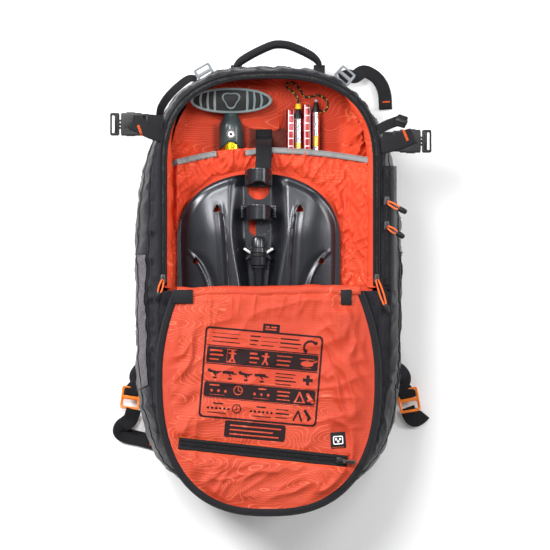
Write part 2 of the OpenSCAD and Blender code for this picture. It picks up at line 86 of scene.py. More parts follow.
BODY_LOW, BODY_HIGH = node_box("back_panel")
BODY_X = (BODY_LOW[0] + BODY_HIGH[0]) / 2
BODY_HALF_W = (BODY_HIGH[0] - BODY_LOW[0]) / 2
BODY_TOP, BODY_BASE = BODY_HIGH[1], -BODY_LOW[1]
BACK_LOW, BACK_HIGH = BODY_LOW[2], BODY_HIGH[2]
RIM_Z = node_box("front_border")[1][2]
ZIP_HIGH = node_box("main_zip")[1]
ZIP_W = 8.0
OPEN_HALF_W = ZIP_HIGH[0] - ZIP_W
OPEN_TOP = ZIP_HIGH[1] - ZIP_W
OPEN_SPRING = 140.0
LINING_FLOOR = node_box("top_flap")[0][2]
PANEL_LOW, PANEL_HIGH = node_box("front_panel")
BIND_LOW, BIND_HIGH = node_box("panel_binding")
PANEL_HALF_W = (BIND_HIGH[0] - BIND_LOW[0]) / 2
PANEL_END = BIND_LOW[1]
PANEL_EDGE = BIND_HIGH[1]
POCKET_HIGH = node_box("inner_pocket")[1]
BLADE_LOW, BLADE_HIGH = node_box("shovel_blade")
BLADE_X = (BLADE_LOW[0] + BLADE_HIGH[0]) / 2
BLADE_HALF_W = (BLADE_HIGH[0] - BLADE_LOW[0]) / 2
GRIP_HIGH = node_box("shovel_grip")[1]
SHAFT_LOW, SHAFT_HIGH = node_box("shovel_shaft")
SHAFT_X = (SHAFT_LOW[0] + SHAFT_HIGH[0]) / 2
SHAFT_Z = (SHAFT_LOW[2] + SHAFT_HIGH[2]) / 2


# ------------------------------------------------------------------ camera and stage

PICTURE_MM = 715.0
PICTURE_CENTRE = (6.5, 2.0)
CAMERA_HEIGHT = 9000.0
SENSOR = 36.0
FLOOR_GAP = 0.4
WORLD_STRENGTH = 0.21


def make_camera():
    data = bpy.data.cameras.new("camera")
    data.sensor_width = SENSOR
    data.lens = SENSOR * (CAMERA_HEIGHT - RIM_Z) / PICTURE_MM
    data.clip_end = 100
    camera = bpy.data.objects.new("camera", data)
    camera.location = Vector((PICTURE_CENTRE[0], PICTURE_CENTRE[1], CAMERA_HEIGHT)) * MM
    bpy.context.scene.collection.objects.link(camera)
    bpy.context.scene.camera = camera


def make_light(name, place, size, power, colour=(1, 1, 1)):
    """A round soft light, in metres and watts, turned to the middle of the pack."""
    data = bpy.data.lights.new(name, "AREA")
    data.shape = "DISK"
    data.size = size
    data.energy = power
    data.color = colour
    light = bpy.data.objects.new(name, data)
    light.location = place
    light.rotation_euler = (Vector((0, 0, 0.1)) - Vector(place)).to_track_quat("-Z", "Y").to_euler()
    light.visible_camera = False
    bpy.context.scene.collection.objects.link(light)


def make_stage():
    bpy.ops.mesh.primitive_plane_add(size=40, location=(0, 0, -FLOOR_GAP * MM))
    floor = bpy.context.object
    floor.name = "studio_floor"
    material, _, _ = new_material("studio_floor", (0.97, 0.97, 0.97), 0.7)
    floor.data.materials.append(material)
    world = bpy.data.worlds.new("studio")
    world.use_nodes = True
    world.node_tree.nodes["Background"].inputs["Color"].default_value = (1, 1, 1, 1)
    world.node_tree.nodes["Background"].inputs["Strength"].default_value = WORLD_STRENGTH
    bpy.context.scene.world = world
    bpy.context.scene.view_settings.view_transform = "Standard"
    make_light("key_light", (-1.7, 1.2, 1.5), 0.7, 70)
    make_light("fill_light", (1.9, 0.5, 1.7), 0.8, 24)
    make_light("right_light", (0.62, 0.62, 2.3), 0.6, 11)
    make_light("low_light", (0.5, -2.2, 2.0), 1.2, 10)
    make_light("rim_light", (0.4, 2.6, 1.2), 0.8, 12)
    make_light("top_light", (-0.5, 0.72, 2.3), 0.7, 36)


# ------------------------------------------------------------------ material helpers

def new_material(name, colour, roughness, metallic=0.0, specular=0.5):
    """A material with one Principled shader. Returns it, the shader and the node tree."""
    material = bpy.data.materials.new(name)
    material.use_nodes = True
    tree = material.node_tree
    shader = tree.nodes["Principled BSDF"]
    shader.inputs["Base Color"].default_value = (*colour, 1)
    shader.inputs["Roughness"].default_value = roughness
    shader.inputs["Metallic"].default_value = metallic
    shader.inputs["Specular IOR Level"].default_value = specular
    return material, shader, tree


def put(tree, kind, **settings):
    """A new node, with its settings, and its inputs by name."""
    made = tree.nodes.new(kind)
    for key, value in settings.items():
        if key in made.inputs:
            made.inputs[key].default_value = value
        else:
            setattr(made, key, value)
    return made


def maths(tree, operation, a, b=None):
    """A Math node on two values, each a socket or a number."""
    made = tree.nodes.new("ShaderNodeMath")
    made.operation = operation
    for k, value in enumerate((a, b)):
        if value is None:
            continue
        if isinstance(value, (int, float)):
            made.inputs[k].default_value = value
        else:
            tree.links.new(value, made.inputs[k])
    return made.outputs[0]


def coordinates(tree, kind="Object"):
    """x, y and z sockets of a point, in metres."""
    source = tree.nodes.new("ShaderNodeTexCoord")
    split = tree.nodes.new("ShaderNodeSeparateXYZ")
    tree.links.new(source.outputs[kind], split.inputs[0])
    return source.outputs[kind], split.outputs


def ripple(tree, value, pitch):
    """0 to 1 and back over each pitch, in metres."""
    turned_by = maths(tree, "MULTIPLY", value, 2 * math.pi / pitch)
    half = maths(tree, "MULTIPLY", maths(tree, "SINE", turned_by), 0.5)
    return maths(tree, "ADD", half, 0.5)


def line_mask(tree, value, pitch, share):
    """1 on a thin line at each pitch, and 0 between."""
    scaled = maths(tree, "FRACT", maths(tree, "MULTIPLY", value, 1 / pitch))
    return maths(tree, "LESS_THAN", scaled, share)


def blend_colours(tree, factor, first, second):
    """A Mix node between two colours, each a socket or a tuple."""
    made = tree.nodes.new("ShaderNodeMix")
    made.data_type = "RGBA"
    tree.links.new(factor, made.inputs["Factor"])
    for socket, value in zip((made.inputs[6], made.inputs[7]), (first, second)):
        if isinstance(value, tuple):
            socket.default_value = (*value, 1)
        else:
            tree.links.new(value, socket)
    return made.outputs[2]


def noise_texture(tree, vector, scale, detail=3.0, stretch=None):
    made = put(tree, "ShaderNodeTexNoise", Scale=scale, Detail=detail)
    if stretch:
        mapping = put(tree, "ShaderNodeMapping")
        mapping.inputs["Scale"].default_value = stretch
        tree.links.new(vector, mapping.inputs["Vector"])
        vector = mapping.outputs["Vector"]
    tree.links.new(vector, made.inputs["Vector"])
    return made.outputs["Fac"]


def add_bump(tree, shader, height, distance, strength=1.0):
    made = tree.nodes.new("ShaderNodeBump")
    made.inputs["Distance"].default_value = distance
    made.inputs["Strength"].default_value = strength
    tree.links.new(height, made.inputs["Height"])
    if shader.inputs["Normal"].is_linked:
        tree.links.new(shader.inputs["Normal"].links[0].from_socket, made.inputs["Normal"])
    tree.links.new(made.outputs["Normal"], shader.inputs["Normal"])


def vary_roughness(tree, shader, vector, low, high, scale):
    made = put(tree, "ShaderNodeMapRange")
    made.inputs["To Min"].default_value = low
    made.inputs["To Max"].default_value = high
    tree.links.new(noise_texture(tree, vector, scale), made.inputs["Value"])
    tree.links.new(made.outputs["Result"], shader.inputs["Roughness"])


# ------------------------------------------------------------------ materials

def cloth_material(name, colour, shade, roughness=0.75, thread=0.0011, ripstop=0.0, contours=None,
                   sheen=0.0, streaks=None, gloss=0.3):
    """Woven cloth in object space: threads, a ripstop grid, changes of tone and, if asked, contour lines."""
    material, shader, tree = new_material(name, colour, roughness, specular=gloss)
    vector, axes = coordinates(tree)
    weave = maths(tree, "ADD", maths(tree, "ADD", ripple(tree, axes[0], thread),
                                     ripple(tree, axes[1], thread)), ripple(tree, axes[2], thread))
    tone = noise_texture(tree, vector, 9, 4)
    body = blend_colours(tree, tone, shade, colour)
    if ripstop:
        grid = maths(tree, "MAXIMUM", line_mask(tree, axes[0], ripstop, 0.11),
                     line_mask(tree, axes[1], ripstop, 0.11))
        body = blend_colours(tree, maths(tree, "MULTIPLY", grid, 0.16), body,
                             tuple(min(1, c * 1.8 + 0.01) for c in colour))
        add_bump(tree, shader, grid, 0.00012)
    if contours:
        field = noise_texture(tree, vector, 13, 0.6, stretch=(0.8, 2.4, 1.0))
        rings = maths(tree, "FRACT", maths(tree, "MULTIPLY", field, 26))
        lines = maths(tree, "LESS_THAN", rings, 0.16)
        patch = maths(tree, "GREATER_THAN", noise_texture(tree, vector, 7, 1), 0.47)
        lines = maths(tree, "MULTIPLY", lines, patch)
        body = blend_colours(tree, maths(tree, "MULTIPLY", lines, 0.30), body, contours)
    if streaks:
        field = noise_texture(tree, vector, 900, 2, stretch=(1.0, 0.22, 1.0))
        fleck = maths(tree, "GREATER_THAN", field, 0.55)
        body = blend_colours(tree, maths(tree, "MULTIPLY", fleck, 0.55), body, streaks)
    tree.links.new(body, shader.inputs["Base Color"])
    shader.inputs["Sheen Weight"].default_value = sheen
    shader.inputs["Sheen Roughness"].default_value = 0.5
    add_bump(tree, shader, weave, 0.00010)
    add_bump(tree, shader, noise_texture(tree, vector, 140, 3), 0.0006, 0.6)
    vary_roughness(tree, shader, vector, roughness - 0.12, roughness + 0.1, 40)
    return material


def webbing_material(name, colour, rib=0.0021, sheen=0.02):
    """Flat woven tape: ribs along and across it, in the piece's own length and width, with a painted
    highlight on the rib crests.
    """
    material, shader, tree = new_material(name, colour, 0.62, specular=0.18)
    _, axes = coordinates(tree, "UV")
    along = ripple(tree, axes[0], rib)
    across = ripple(tree, axes[1], rib * 0.7)
    height = maths(tree, "ADD", along, maths(tree, "MULTIPLY", across, 0.6))
    add_bump(tree, shader, height, 0.00022)
    point, _ = coordinates(tree)
    # painted highlight: the colour is lightened where both rows of ribs crest
    painted_crest_highlight = tuple(c * 2.4 + 0.006 for c in colour)
    tone = maths(tree, "MULTIPLY", maths(tree, "MULTIPLY", along, across), 0.5)
    tree.links.new(blend_colours(tree, tone, colour, painted_crest_highlight), shader.inputs["Base Color"])
    shader.inputs["Sheen Weight"].default_value = sheen
    vary_roughness(tree, shader, point, 0.5, 0.72, 60)
    return material


def plastic_material(name, colour, roughness=0.42, grain=900, coat=0.0):
    """Moulded plastic: spark-eroded grain, faint flow marks and slightly worn gloss."""
    material, shader, tree = new_material(name, colour, roughness, specular=0.32)
    vector, _ = coordinates(tree)
    add_bump(tree, shader, noise_texture(tree, vector, grain, 2), 0.00012, 0.5)
    flow = noise_texture(tree, vector, 25, 3)
    tree.links.new(blend_colours(tree, flow, tuple(c * 0.8 for c in colour),
                                 tuple(c * 1.25 for c in colour)), shader.inputs["Base Color"])
    shader.inputs["Coat Weight"].default_value = coat
    vary_roughness(tree, shader, vector, roughness - 0.1, roughness + 0.12, 90)
    return material


def metal_material(name, colour, roughness=0.3, brushed=None, metallic=1.0, coat=0.0):
    """Metal with fine brushing along one axis, or a plain satin one."""
    material, shader, tree = new_material(name, colour, roughness, metallic)
    vector, _ = coordinates(tree)
    stretch = brushed or (1, 1, 1)
    fine = noise_texture(tree, vector, 600, 3, stretch=stretch)
    add_bump(tree, shader, fine, 0.00004, 0.6)
    shader.inputs["Coat Weight"].default_value = coat
    tree.links.new(blend_colours(tree, fine, tuple(c * 0.86 for c in colour), colour),
                   shader.inputs["Base Color"])
    vary_roughness(tree, shader, vector, roughness * 0.75, roughness * 1.3, 50)
    return material


def powder_material(name, colour):
    """Powder coat on sheet metal: orange peel, fine sparkle and small rubbed scratches."""
    material, shader, tree = new_material(name, colour, 0.38, 0.55)
    vector, _ = coordinates(tree)
    add_bump(tree, shader, noise_texture(tree, vector, 640, 2), 0.00009, 0.8)
    shader.inputs["Coat Weight"].default_value = 0.35
    shader.inputs["Coat Roughness"].default_value = 0.22
    scratches = noise_texture(tree, vector, 70, 6, stretch=(0.35, 6.0, 1.0))
    mask = maths(tree, "GREATER_THAN", scratches, 0.70)
    tree.links.new(blend_colours(tree, maths(tree, "MULTIPLY", mask, 0.5), colour,
                                 tuple(c * 3.5 for c in colour)), shader.inputs["Base Color"])
    vary_roughness(tree, shader, vector, 0.24, 0.34, 30)
    return material


def make_materials():
    orange, orange_dark = (0.70, 0.058, 0.017), (0.50, 0.034, 0.010)
    charcoal, near_black = (0.010, 0.010, 0.015), (0.003, 0.003, 0.006)
    black = (0.0055, 0.0055, 0.007)
    return {
        "shell": cloth_material("shell_cloth", charcoal, near_black, 0.42, ripstop=0.0042, gloss=0.20),
        "side": cloth_material("side_cloth", (0.10, 0.088, 0.10), (0.055, 0.048, 0.056), 0.7,
                               streaks=(0.2, 0.19, 0.2)),
        "lining": cloth_material("lining_cloth", orange, orange_dark, 0.58, ripstop=0.0035,
                                 contours=(0.95, 0.25, 0.12), gloss=0.28),
        "panel": cloth_material("panel_cloth", (0.55, 0.055, 0.019), (0.36, 0.029, 0.010), 0.5,
                                ripstop=0.0035, contours=(0.92, 0.26, 0.13), gloss=0.3),
        "print": cloth_material("print_ink", (0.026, 0.014, 0.015), (0.014, 0.008, 0.009), 0.7, gloss=0.08),
        "mesh": cloth_material("spacer_mesh", (0.016, 0.016, 0.019), black, 0.85, thread=0.003),
        "nylon": cloth_material("airbag_nylon", (0.75, 0.16, 0.02), (0.6, 0.1, 0.015), 0.5),
        "binding": webbing_material("grosgrain_binding", (0.006, 0.006, 0.008), 0.0016),
        "grey_binding": webbing_material("grey_elastic", (0.20, 0.20, 0.20), 0.0013, 0.0),
        "webbing": webbing_material("black_webbing", black),
        "stitch": plastic_material("orange_thread", (0.80, 0.12, 0.02), 0.6),
        "dark_stitch": plastic_material("dark_thread", (0.05, 0.045, 0.045), 0.7),
        "tape": webbing_material("zip_tape", black, 0.0012),
        "teeth": plastic_material("zip_teeth", (0.012, 0.012, 0.013), 0.25),
        "black_plastic": plastic_material("black_acetal", (0.005, 0.005, 0.006), 0.38),
        "grey_plastic": plastic_material("grey_acetal", (0.22, 0.23, 0.25), 0.45),
        "orange_plastic": plastic_material("orange_acetal", (0.88, 0.20, 0.012), 0.34, coat=0.2),
        "pull": plastic_material("pull_plastic", (0.045, 0.040, 0.036), 0.45),
        "yellow_plastic": plastic_material("yellow_plastic", (0.85, 0.55, 0.02), 0.35),
        "red_plastic": plastic_material("trigger_plastic", (0.6, 0.02, 0.02), 0.35),
        "grip": plastic_material("grip_plastic", (0.030, 0.046, 0.048), 0.34, coat=0.2),
        "grip_rim": plastic_material("grip_rim", (0.14, 0.185, 0.19), 0.34, coat=0.2),
        "rubber": plastic_material("black_rubber", (0.004, 0.004, 0.005), 0.55),
        "slider": metal_material("slider_metal", (0.06, 0.06, 0.062), 0.32),
        "steel": metal_material("button_steel", (0.6, 0.6, 0.6), 0.36, metallic=0.8),
        "yellow": metal_material("yellow_anodised", (0.90, 0.62, 0.02), 0.22, brushed=(8, 0.2, 8),
                                 coat=0.3),
        "silver": metal_material("silver_tube", (0.62, 0.63, 0.65), 0.20, brushed=(8, 0.2, 8)),
        "red_tube": metal_material("red_anodised", (0.22, 0.012, 0.016), 0.3, brushed=(8, 0.2, 8),
                                   coat=0.4),
        "white_paint": plastic_material("white_marks", (0.85, 0.85, 0.85), 0.5),
        "gold": metal_material("gold_ferrule", (0.62, 0.42, 0.10), 0.3),
        "aluminium": metal_material("aluminium_bar", (0.7, 0.7, 0.72), 0.35, brushed=(8, 0.2, 8)),
        "blade": powder_material("blade_coat", (0.016, 0.017, 0.022)),
        "sheet": plastic_material("frame_sheet", (0.7, 0.7, 0.72), 0.5),
    }


def deep_lining(mats):
    """The lining again, with painted shade: darker where the compartment goes deeper behind the tools."""
    material = mats["lining"].copy()
    material.name = "lining_cloth_deep"
    tree = material.node_tree
    shader = tree.nodes["Principled BSDF"]
    source = shader.inputs["Base Color"].links[0].from_socket
    shade_attribute = put(tree, "ShaderNodeAttribute")
    shade_attribute.attribute_name = "deep"
    amount = maths(tree, "MULTIPLY", shade_attribute.outputs["Fac"], 0.88)
    # painted shade: a dark red-brown mixed into the lining colour by the shade attribute
    tree.links.new(blend_colours(tree, amount, source, (0.035, 0.006, 0.004)), shader.inputs["Base Color"])
    return material


# ------------------------------------------------------------------ mesh helpers

def adopt(obj, body, replaces=(), slot=None):
    """Puts a piece on its body, in place of its CAD nodes."""
    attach(obj, body)
    if replaces:
        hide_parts(*([replaces] if isinstance(replaces, str) else replaces))
    return obj


def make_mesh(name, verts, faces, material, uvs=None, smooth=True, indices=None):
    """A mesh object from points in millimetres. uvs is one (u, v) in metres for each point."""
    mesh = bpy.data.meshes.new(name)
    mesh.from_pydata((np.asarray(verts, float) * MM).tolist(), [], [tuple(f) for f in faces])
    for item in material if isinstance(material, (list, tuple)) else [material]:
        mesh.materials.append(item)
    if uvs is not None:
        layer = mesh.uv_layers.new(name="UVMap")
        corner = np.empty(len(mesh.loops), int)
        mesh.loops.foreach_get("vertex_index", corner)
        layer.data.foreach_set("uv", np.asarray(uvs, float)[corner].ravel())
    if indices is not None:
        mesh.polygons.foreach_set("material_index", indices)
    mesh.polygons.foreach_set("use_smooth", [smooth] * len(mesh.polygons))
    mesh.update()
    obj = bpy.data.objects.new(name, mesh)
    bpy.context.scene.collection.objects.link(obj)
    return obj


def applied(obj):
    """The object with its modifiers made part of its mesh."""
    bpy.context.view_layer.update()
    mesh = bpy.data.meshes.new_from_object(obj.evaluated_get(bpy.context.evaluated_depsgraph_get()))
    obj.modifiers.clear()
    obj.data = mesh
    return obj


def grid_faces(rows, cols, wrap=False):
    i, j = np.meshgrid(np.arange(rows - 1), np.arange(cols if wrap else cols - 1), indexing="ij")
    k = (j + 1) % cols
    quads = np.stack([i * cols + j, i * cols + k, (i + 1) * cols + k, (i + 1) * cols + j], -1)
    return quads.reshape(-1, 4)


def grid_mesh(name, grid, material, wrap=False, smooth=True, indices=None):
    """A sheet from an array of points, rows by columns, with arc lengths as UVs."""
    grid = np.asarray(grid, float)
    rows, cols = grid.shape[:2]
    u = np.zeros((rows, cols))
    v = np.zeros((rows, cols))
    u[:, 1:] = np.cumsum(np.linalg.norm(np.diff(grid, axis=1), axis=2), axis=1)
    v[1:] = np.cumsum(np.linalg.norm(np.diff(grid, axis=0), axis=2), axis=0)
    uvs = np.stack([u, v], -1).reshape(-1, 2) * MM
    faces = grid_faces(rows, cols, wrap)
    return make_mesh(name, grid.reshape(-1, 3), faces.tolist(), material, uvs, smooth, indices)


def give_thickness(obj, thick, offset=-1.0):
    """Makes a sheet solid; offset -1 keeps its own face outside."""
    made = obj.modifiers.new("thickness", "SOLIDIFY")
    made.thickness = thick * MM
    made.offset = offset
    return obj


def subdivide(obj, levels=1):
    """Smooths a mesh by subdivision."""
    made = obj.modifiers.new("smooth", "SUBSURF")
    made.levels = made.render_levels = levels
    return obj


def curve_through(points, steps=8):
    """A Catmull-Rom curve through points."""
    p = np.asarray(points, float)
    out = []
    for i in range(len(p) - 1):
        a, b, c, d = p[max(i - 1, 0)], p[i], p[i + 1], p[min(i + 2, len(p) - 1)]
        for t in np.arange(steps) / steps:
            out.append(0.5 * (2 * b + (c - a) * t + (2 * a - 5 * b + 4 * c - d) * t * t
                              + (3 * b - a - 3 * c + d) * t ** 3))
    out.append(p[-1])
    return np.array(out)


def lengths(path):
    """Distance along a path at each of its points."""
    return np.concatenate([[0], np.cumsum(np.linalg.norm(np.diff(path, axis=0), axis=1))])


def unit(v):
    v = np.asarray(v, float)
    return v / (np.linalg.norm(v, axis=-1, keepdims=True) + 1e-12)


def tangents(path, closed=False):
    if closed:
        return unit(np.roll(path, -1, axis=0) - np.roll(path, 1, axis=0))
    return unit(np.gradient(path, axis=0))


def sweep(name, path, section, material, up=(0, 0, 1), closed=False, scale=None):
    """A section of (across, up) points carried along a path. up is one direction, or one for each point."""
    path = np.asarray(path, float)
    t = tangents(path, closed)
    ups = np.broadcast_to(np.asarray(up, float), path.shape)
    side = unit(np.cross(t, ups))
    normal = np.cross(side, t)
    section = np.asarray(section, float)
    grow = np.ones(len(path)) if scale is None else np.asarray(scale)
    verts = (path[:, None] + side[:, None] * (section[:, 0] * grow[:, None])[..., None]
             + normal[:, None] * (section[:, 1] * grow[:, None])[..., None])
    n, m = len(path), len(section)
    run = lengths(path)
    round_ = lengths(section)
    uvs = np.stack(np.broadcast_arrays(run[:, None], round_[None, :]), -1).reshape(-1, 2) * MM
    faces = grid_faces(n, m, wrap=True).tolist()
    if closed:
        faces += [[(n - 1) * m + j, (n - 1) * m + (j + 1) % m, (j + 1) % m, j] for j in range(m)]
    else:
        faces += [list(range(m))[::-1], [(n - 1) * m + j for j in range(m)]]
    return make_mesh(name, verts.reshape(-1, 3), [f[::-1] for f in faces], material, uvs)


def tape_section(width, thick, corners=3):
    """A flat section with round edges."""
    r = thick / 2
    right = [(width / 2 - r + r * math.cos(a), r * math.sin(a))
             for a in np.linspace(-math.pi / 2, math.pi / 2, corners + 2)]
    flat = [(x, r) for x in np.linspace(width / 2 - r, -(width / 2 - r), 6)[1:-1]]
    left = [(-x, -y) for x, y in right]
    return right + flat + left + [(-x, -y) for x, y in flat]


def round_section(radius, sides=12):
    return [(radius * math.cos(a), radius * math.sin(a))
            for a in np.linspace(0, 2 * math.pi, sides, endpoint=False)]


def oval_section(across, up, across_power, up_power, count):
    """A rounded box section: the smaller the powers, the squarer it is."""
    return [(across * spow(math.cos(a), across_power), up * spow(math.sin(a), up_power))
            for a in np.linspace(0, 2 * math.pi, count, endpoint=False)]


def coords_of(obj):
    """The points of an object's mesh, in metres."""
    out = np.empty(len(obj.data.vertices) * 3)
    obj.data.vertices.foreach_get("co", out)
    return out.reshape(-1, 3)


def points_of(obj):
    """The points of an object's mesh, in millimetres."""
    return coords_of(obj) / MM


def move_points(obj, points):
    """Puts an object's points at new places, in millimetres."""
    obj.data.vertices.foreach_set("co", (points * MM).ravel())


def side_name(s):
    return "left" if s < 0 else "right"


def webbing(name, points, width, thick, material, up=(0, 0, 1), steps=8, body="root", **keys):
    """Flat tape along a smooth path, with its own ribs and round edges."""
    path = curve_through(points, steps)
    if np.ndim(up) == 2:
        up = unit(curve_through(up, steps))
    tape = sweep(name, path, tape_section(width, thick), material, up)
    points = points_of(tape)
    points[:, 2] = np.maximum(points[:, 2], 0.2)
    move_points(tape, points)
    return adopt(tape, body, **keys)


def plate(name, loops, low, high, material, bevel=0.6, place=None, steps=3):
    """A flat plate with rounded edges, from loops of (x, y); inner loops are holes."""
    curve = bpy.data.curves.new(name, "CURVE")
    curve.dimensions = "2D"
    curve.fill_mode = "BOTH"
    bevel = min(bevel, (high - low) / 2 - 0.01)
    curve.bevel_depth = bevel * MM
    curve.bevel_resolution = steps
    curve.offset = -bevel * MM
    curve.extrude = ((high - low) / 2 - bevel) * MM
    for loop in loops:
        spline = curve.splines.new("POLY")
        spline.points.add(len(loop) - 1)
        spline.use_cyclic_u = True
        for point, (x, y) in zip(spline.points, loop):
            point.co = (x * MM, y * MM, 0, 1)
    holder = bpy.data.objects.new(name, curve)
    bpy.context.scene.collection.objects.link(holder)
    bpy.context.view_layer.update()
    mesh = bpy.data.meshes.new_from_object(holder.evaluated_get(bpy.context.evaluated_depsgraph_get()))
    bpy.data.objects.remove(holder)
    points = np.empty(len(mesh.vertices) * 3)
    mesh.vertices.foreach_get("co", points)
    points = points.reshape(-1, 3) + np.array([0, 0, (low + high) / 2 * MM])
    if place is not None:
        points = place(points / MM) * MM
    mesh.vertices.foreach_set("co", points.ravel())
    mesh.materials.clear()
    mesh.materials.append(material)
    mesh.polygons.foreach_set("use_smooth", [True] * len(mesh.polygons))
    mesh.update()
    obj = bpy.data.objects.new(name, mesh)
    bpy.context.scene.collection.objects.link(obj)
    soften(obj)
    return obj


def soften(obj, angle=40):
    """Smooth shading that keeps the sharp corners of a hard part."""
    mesh = obj.data
    work = bmesh.new()
    work.from_mesh(mesh)
    bmesh.ops.remove_doubles(work, verts=work.verts, dist=1e-6)
    for edge in work.edges:
        edge.smooth = not (len(edge.link_faces) == 2 and edge.calc_face_angle(0) > math.radians(angle))
    work.to_mesh(mesh)
    work.free()
    return obj


def block(name, low, high, material, bevel=1.0, place=None, segments=3):
    """A box with rounded edges between two corners."""
    work = bmesh.new()
    bmesh.ops.create_cube(work, size=1)
    low, high = np.asarray(low, float), np.asarray(high, float)
    for vert in work.verts:
        vert.co = Vector((np.array(vert.co) + 0.5) * (high - low) + low)
    bmesh.ops.bevel(work, geom=list(work.edges), offset=min(bevel, 0.48 * (high - low).min()),
                    segments=segments, affect="EDGES", profile=0.5)
    verts = np.array([v.co for v in work.verts])
    faces = [[v.index for v in f.verts] for f in work.faces]
    work.free()
    if place is not None:
        verts = place(verts)
    return make_mesh(name, verts, faces, material)


def turned(name, profile, material, place, sides=32):
    """A turned part: (distance along the axis, radius) pairs round the local Y axis."""
    angle = np.linspace(0, 2 * math.pi, sides, endpoint=False)
    rings = np.array([[(r * math.cos(a), y, r * math.sin(a)) for a in angle] for y, r in profile])
    verts = place(rings.reshape(-1, 3))
    n = len(profile)
    faces = grid_faces(n, sides, wrap=True).tolist()
    faces += [list(range(sides))[::-1], [(n - 1) * sides + j for j in range(sides)]]
    along = np.repeat([y for y, _ in profile], sides) * MM
    turn = np.tile(angle / (2 * math.pi), n)
    obj = make_mesh(name, verts, [f[::-1] for f in faces], material, np.stack([along, turn], -1))
    return soften(obj, 35)


def placed(origin, spin=0.0, tilt=0.0, roll=0.0):
    """A function that turns points about Z (spin), after X (tilt) and Y (roll), and moves them to origin."""
    cz, sz = math.cos(math.radians(spin)), math.sin(math.radians(spin))
    cx, sx = math.cos(math.radians(tilt)), math.sin(math.radians(tilt))
    cy, sy = math.cos(math.radians(roll)), math.sin(math.radians(roll))
    turn = (np.array([[cz, -sz, 0], [sz, cz, 0], [0, 0, 1]])
            @ np.array([[1, 0, 0], [0, cx, -sx], [0, sx, cx]])
            @ np.array([[cy, 0, sy], [0, 1, 0], [-sy, 0, cy]]))
    return lambda points: np.asarray(points, float) @ turn.T + np.asarray(origin, float)


def join(name, parts):
    """Several mesh objects as one."""
    with bpy.context.temp_override(active_object=parts[0], object=parts[0], selected_objects=parts,
                                   selected_editable_objects=parts):
        bpy.ops.object.join()
    parts[0].name = name
    return parts[0]


def rounded_rect(x0, y0, x1, y1, r, n=5):
    loop = []
    for cx, cy, start in ((x1 - r, y1 - r, 0), (x0 + r, y1 - r, 90), (x0 + r, y0 + r, 180),
                          (x1 - r, y0 + r, 270)):
        for k in range(n + 1):
            a = math.radians(start + 90 * k / n)
            loop.append((cx + r * math.cos(a), cy + r * math.sin(a)))
    return loop


def ellipse(cx, cy, rx, ry, n=32):
    return [(cx + rx * math.cos(2 * math.pi * k / n),
             cy + ry * math.sin(2 * math.pi * k / n)) for k in range(n)]


def noise_at(points, size, seed=0.0, octaves=3, stretch=(1, 1, 1)):
    """Smooth noise from -1 to 1 at points in millimetres, in features of a given size."""
    out = np.zeros(len(points))
    scaled = np.asarray(points, float) * np.asarray(stretch) / size + seed * 17.3
    gain, total = 1.0, 0.0
    for _ in range(octaves):
        out += gain * np.array([noise.noise(Vector(p)) for p in scaled])
        total += gain
        scaled = scaled * 2.03 + 5.1
        gain *= 0.5
    return out / total * 1.6


def creases(points, size, seed, angle=0.0, slim=3.0):
    """0 to 1, high along long soft folds that run at an angle in plan."""
    c, s = math.cos(math.radians(angle)), math.sin(math.radians(angle))
    p = np.asarray(points, float)
    turned_points = np.stack([p[:, 0] * c + p[:, 1] * s, (-p[:, 0] * s + p[:, 1] * c) * slim,
                              p[:, 2] * 0.3], -1)
    bend = noise_at(points, size * 1.4, seed + 3, 1)
    turned_points[:, 1] += bend * size * 0.5
    return np.clip(1 - np.abs(noise_at(turned_points, size, seed, 2)) * 1.5, 0, 1) ** 2


def smoothstep(x):
    """0 to 1 with soft ends."""
    x = np.clip(x, 0, 1)
    return x * x * (3 - 2 * x)


def crumple(obj, pin, grow, pressure, cap, frames=18, bending=0.05):
    """Cloth simulation of a sheet that is cut a little too large for the edge it is sewn to."""
    before = coords_of(obj)
    group = obj.vertex_groups.new(name="sewn")
    for level in (1.0, 0.6, 0.3):
        chosen = np.nonzero(np.abs(pin - level) < 0.15)[0].tolist()
        group.add(chosen, level, "REPLACE")
    cloth = obj.modifiers.new("cloth", "CLOTH")
    settings = cloth.settings
    settings.quality = 4
    settings.mass = 0.12
    settings.tension_stiffness = settings.compression_stiffness = 10
    settings.shear_stiffness = 4
    settings.bending_stiffness = bending
    settings.vertex_group_mass = "sewn"
    settings.shrink_min = -grow
    settings.use_pressure = True
    settings.uniform_pressure_force = pressure
    settings.effector_weights.gravity = 0
    cloth.point_cache.frame_start = 1
    cloth.point_cache.frame_end = frames
    scene = bpy.context.scene
    for step in range(1, frames + 1):
        scene.frame_set(step)
    result = obj.evaluated_get(bpy.context.evaluated_depsgraph_get()).to_mesh()
    after = np.empty(len(result.vertices) * 3)
    result.vertices.foreach_get("co", after)
    move = after.reshape(-1, 3) - before
    far = np.linalg.norm(move, axis=1, keepdims=True)
    move *= np.minimum(1, cap * MM / np.maximum(far, 1e-9))
    obj.modifiers.remove(cloth)
    obj.vertex_groups.remove(group)
    scene.frame_set(1)
    obj.data.vertices.foreach_set("co", (before + move).ravel())
    obj.data.update()
    return obj


def surface_of(obj):
    """A tree of an object's own mesh, for finding the height of its top."""
    bpy.context.view_layer.update()
    return BVHTree.FromObject(obj, bpy.context.evaluated_depsgraph_get())


def height_on(tree, x, y, missing):
    hit = tree.ray_cast(Vector((x * MM, y * MM, 1.0)), Vector((0, 0, -1)))
    return hit[0].z / MM if hit[0] is not None else missing


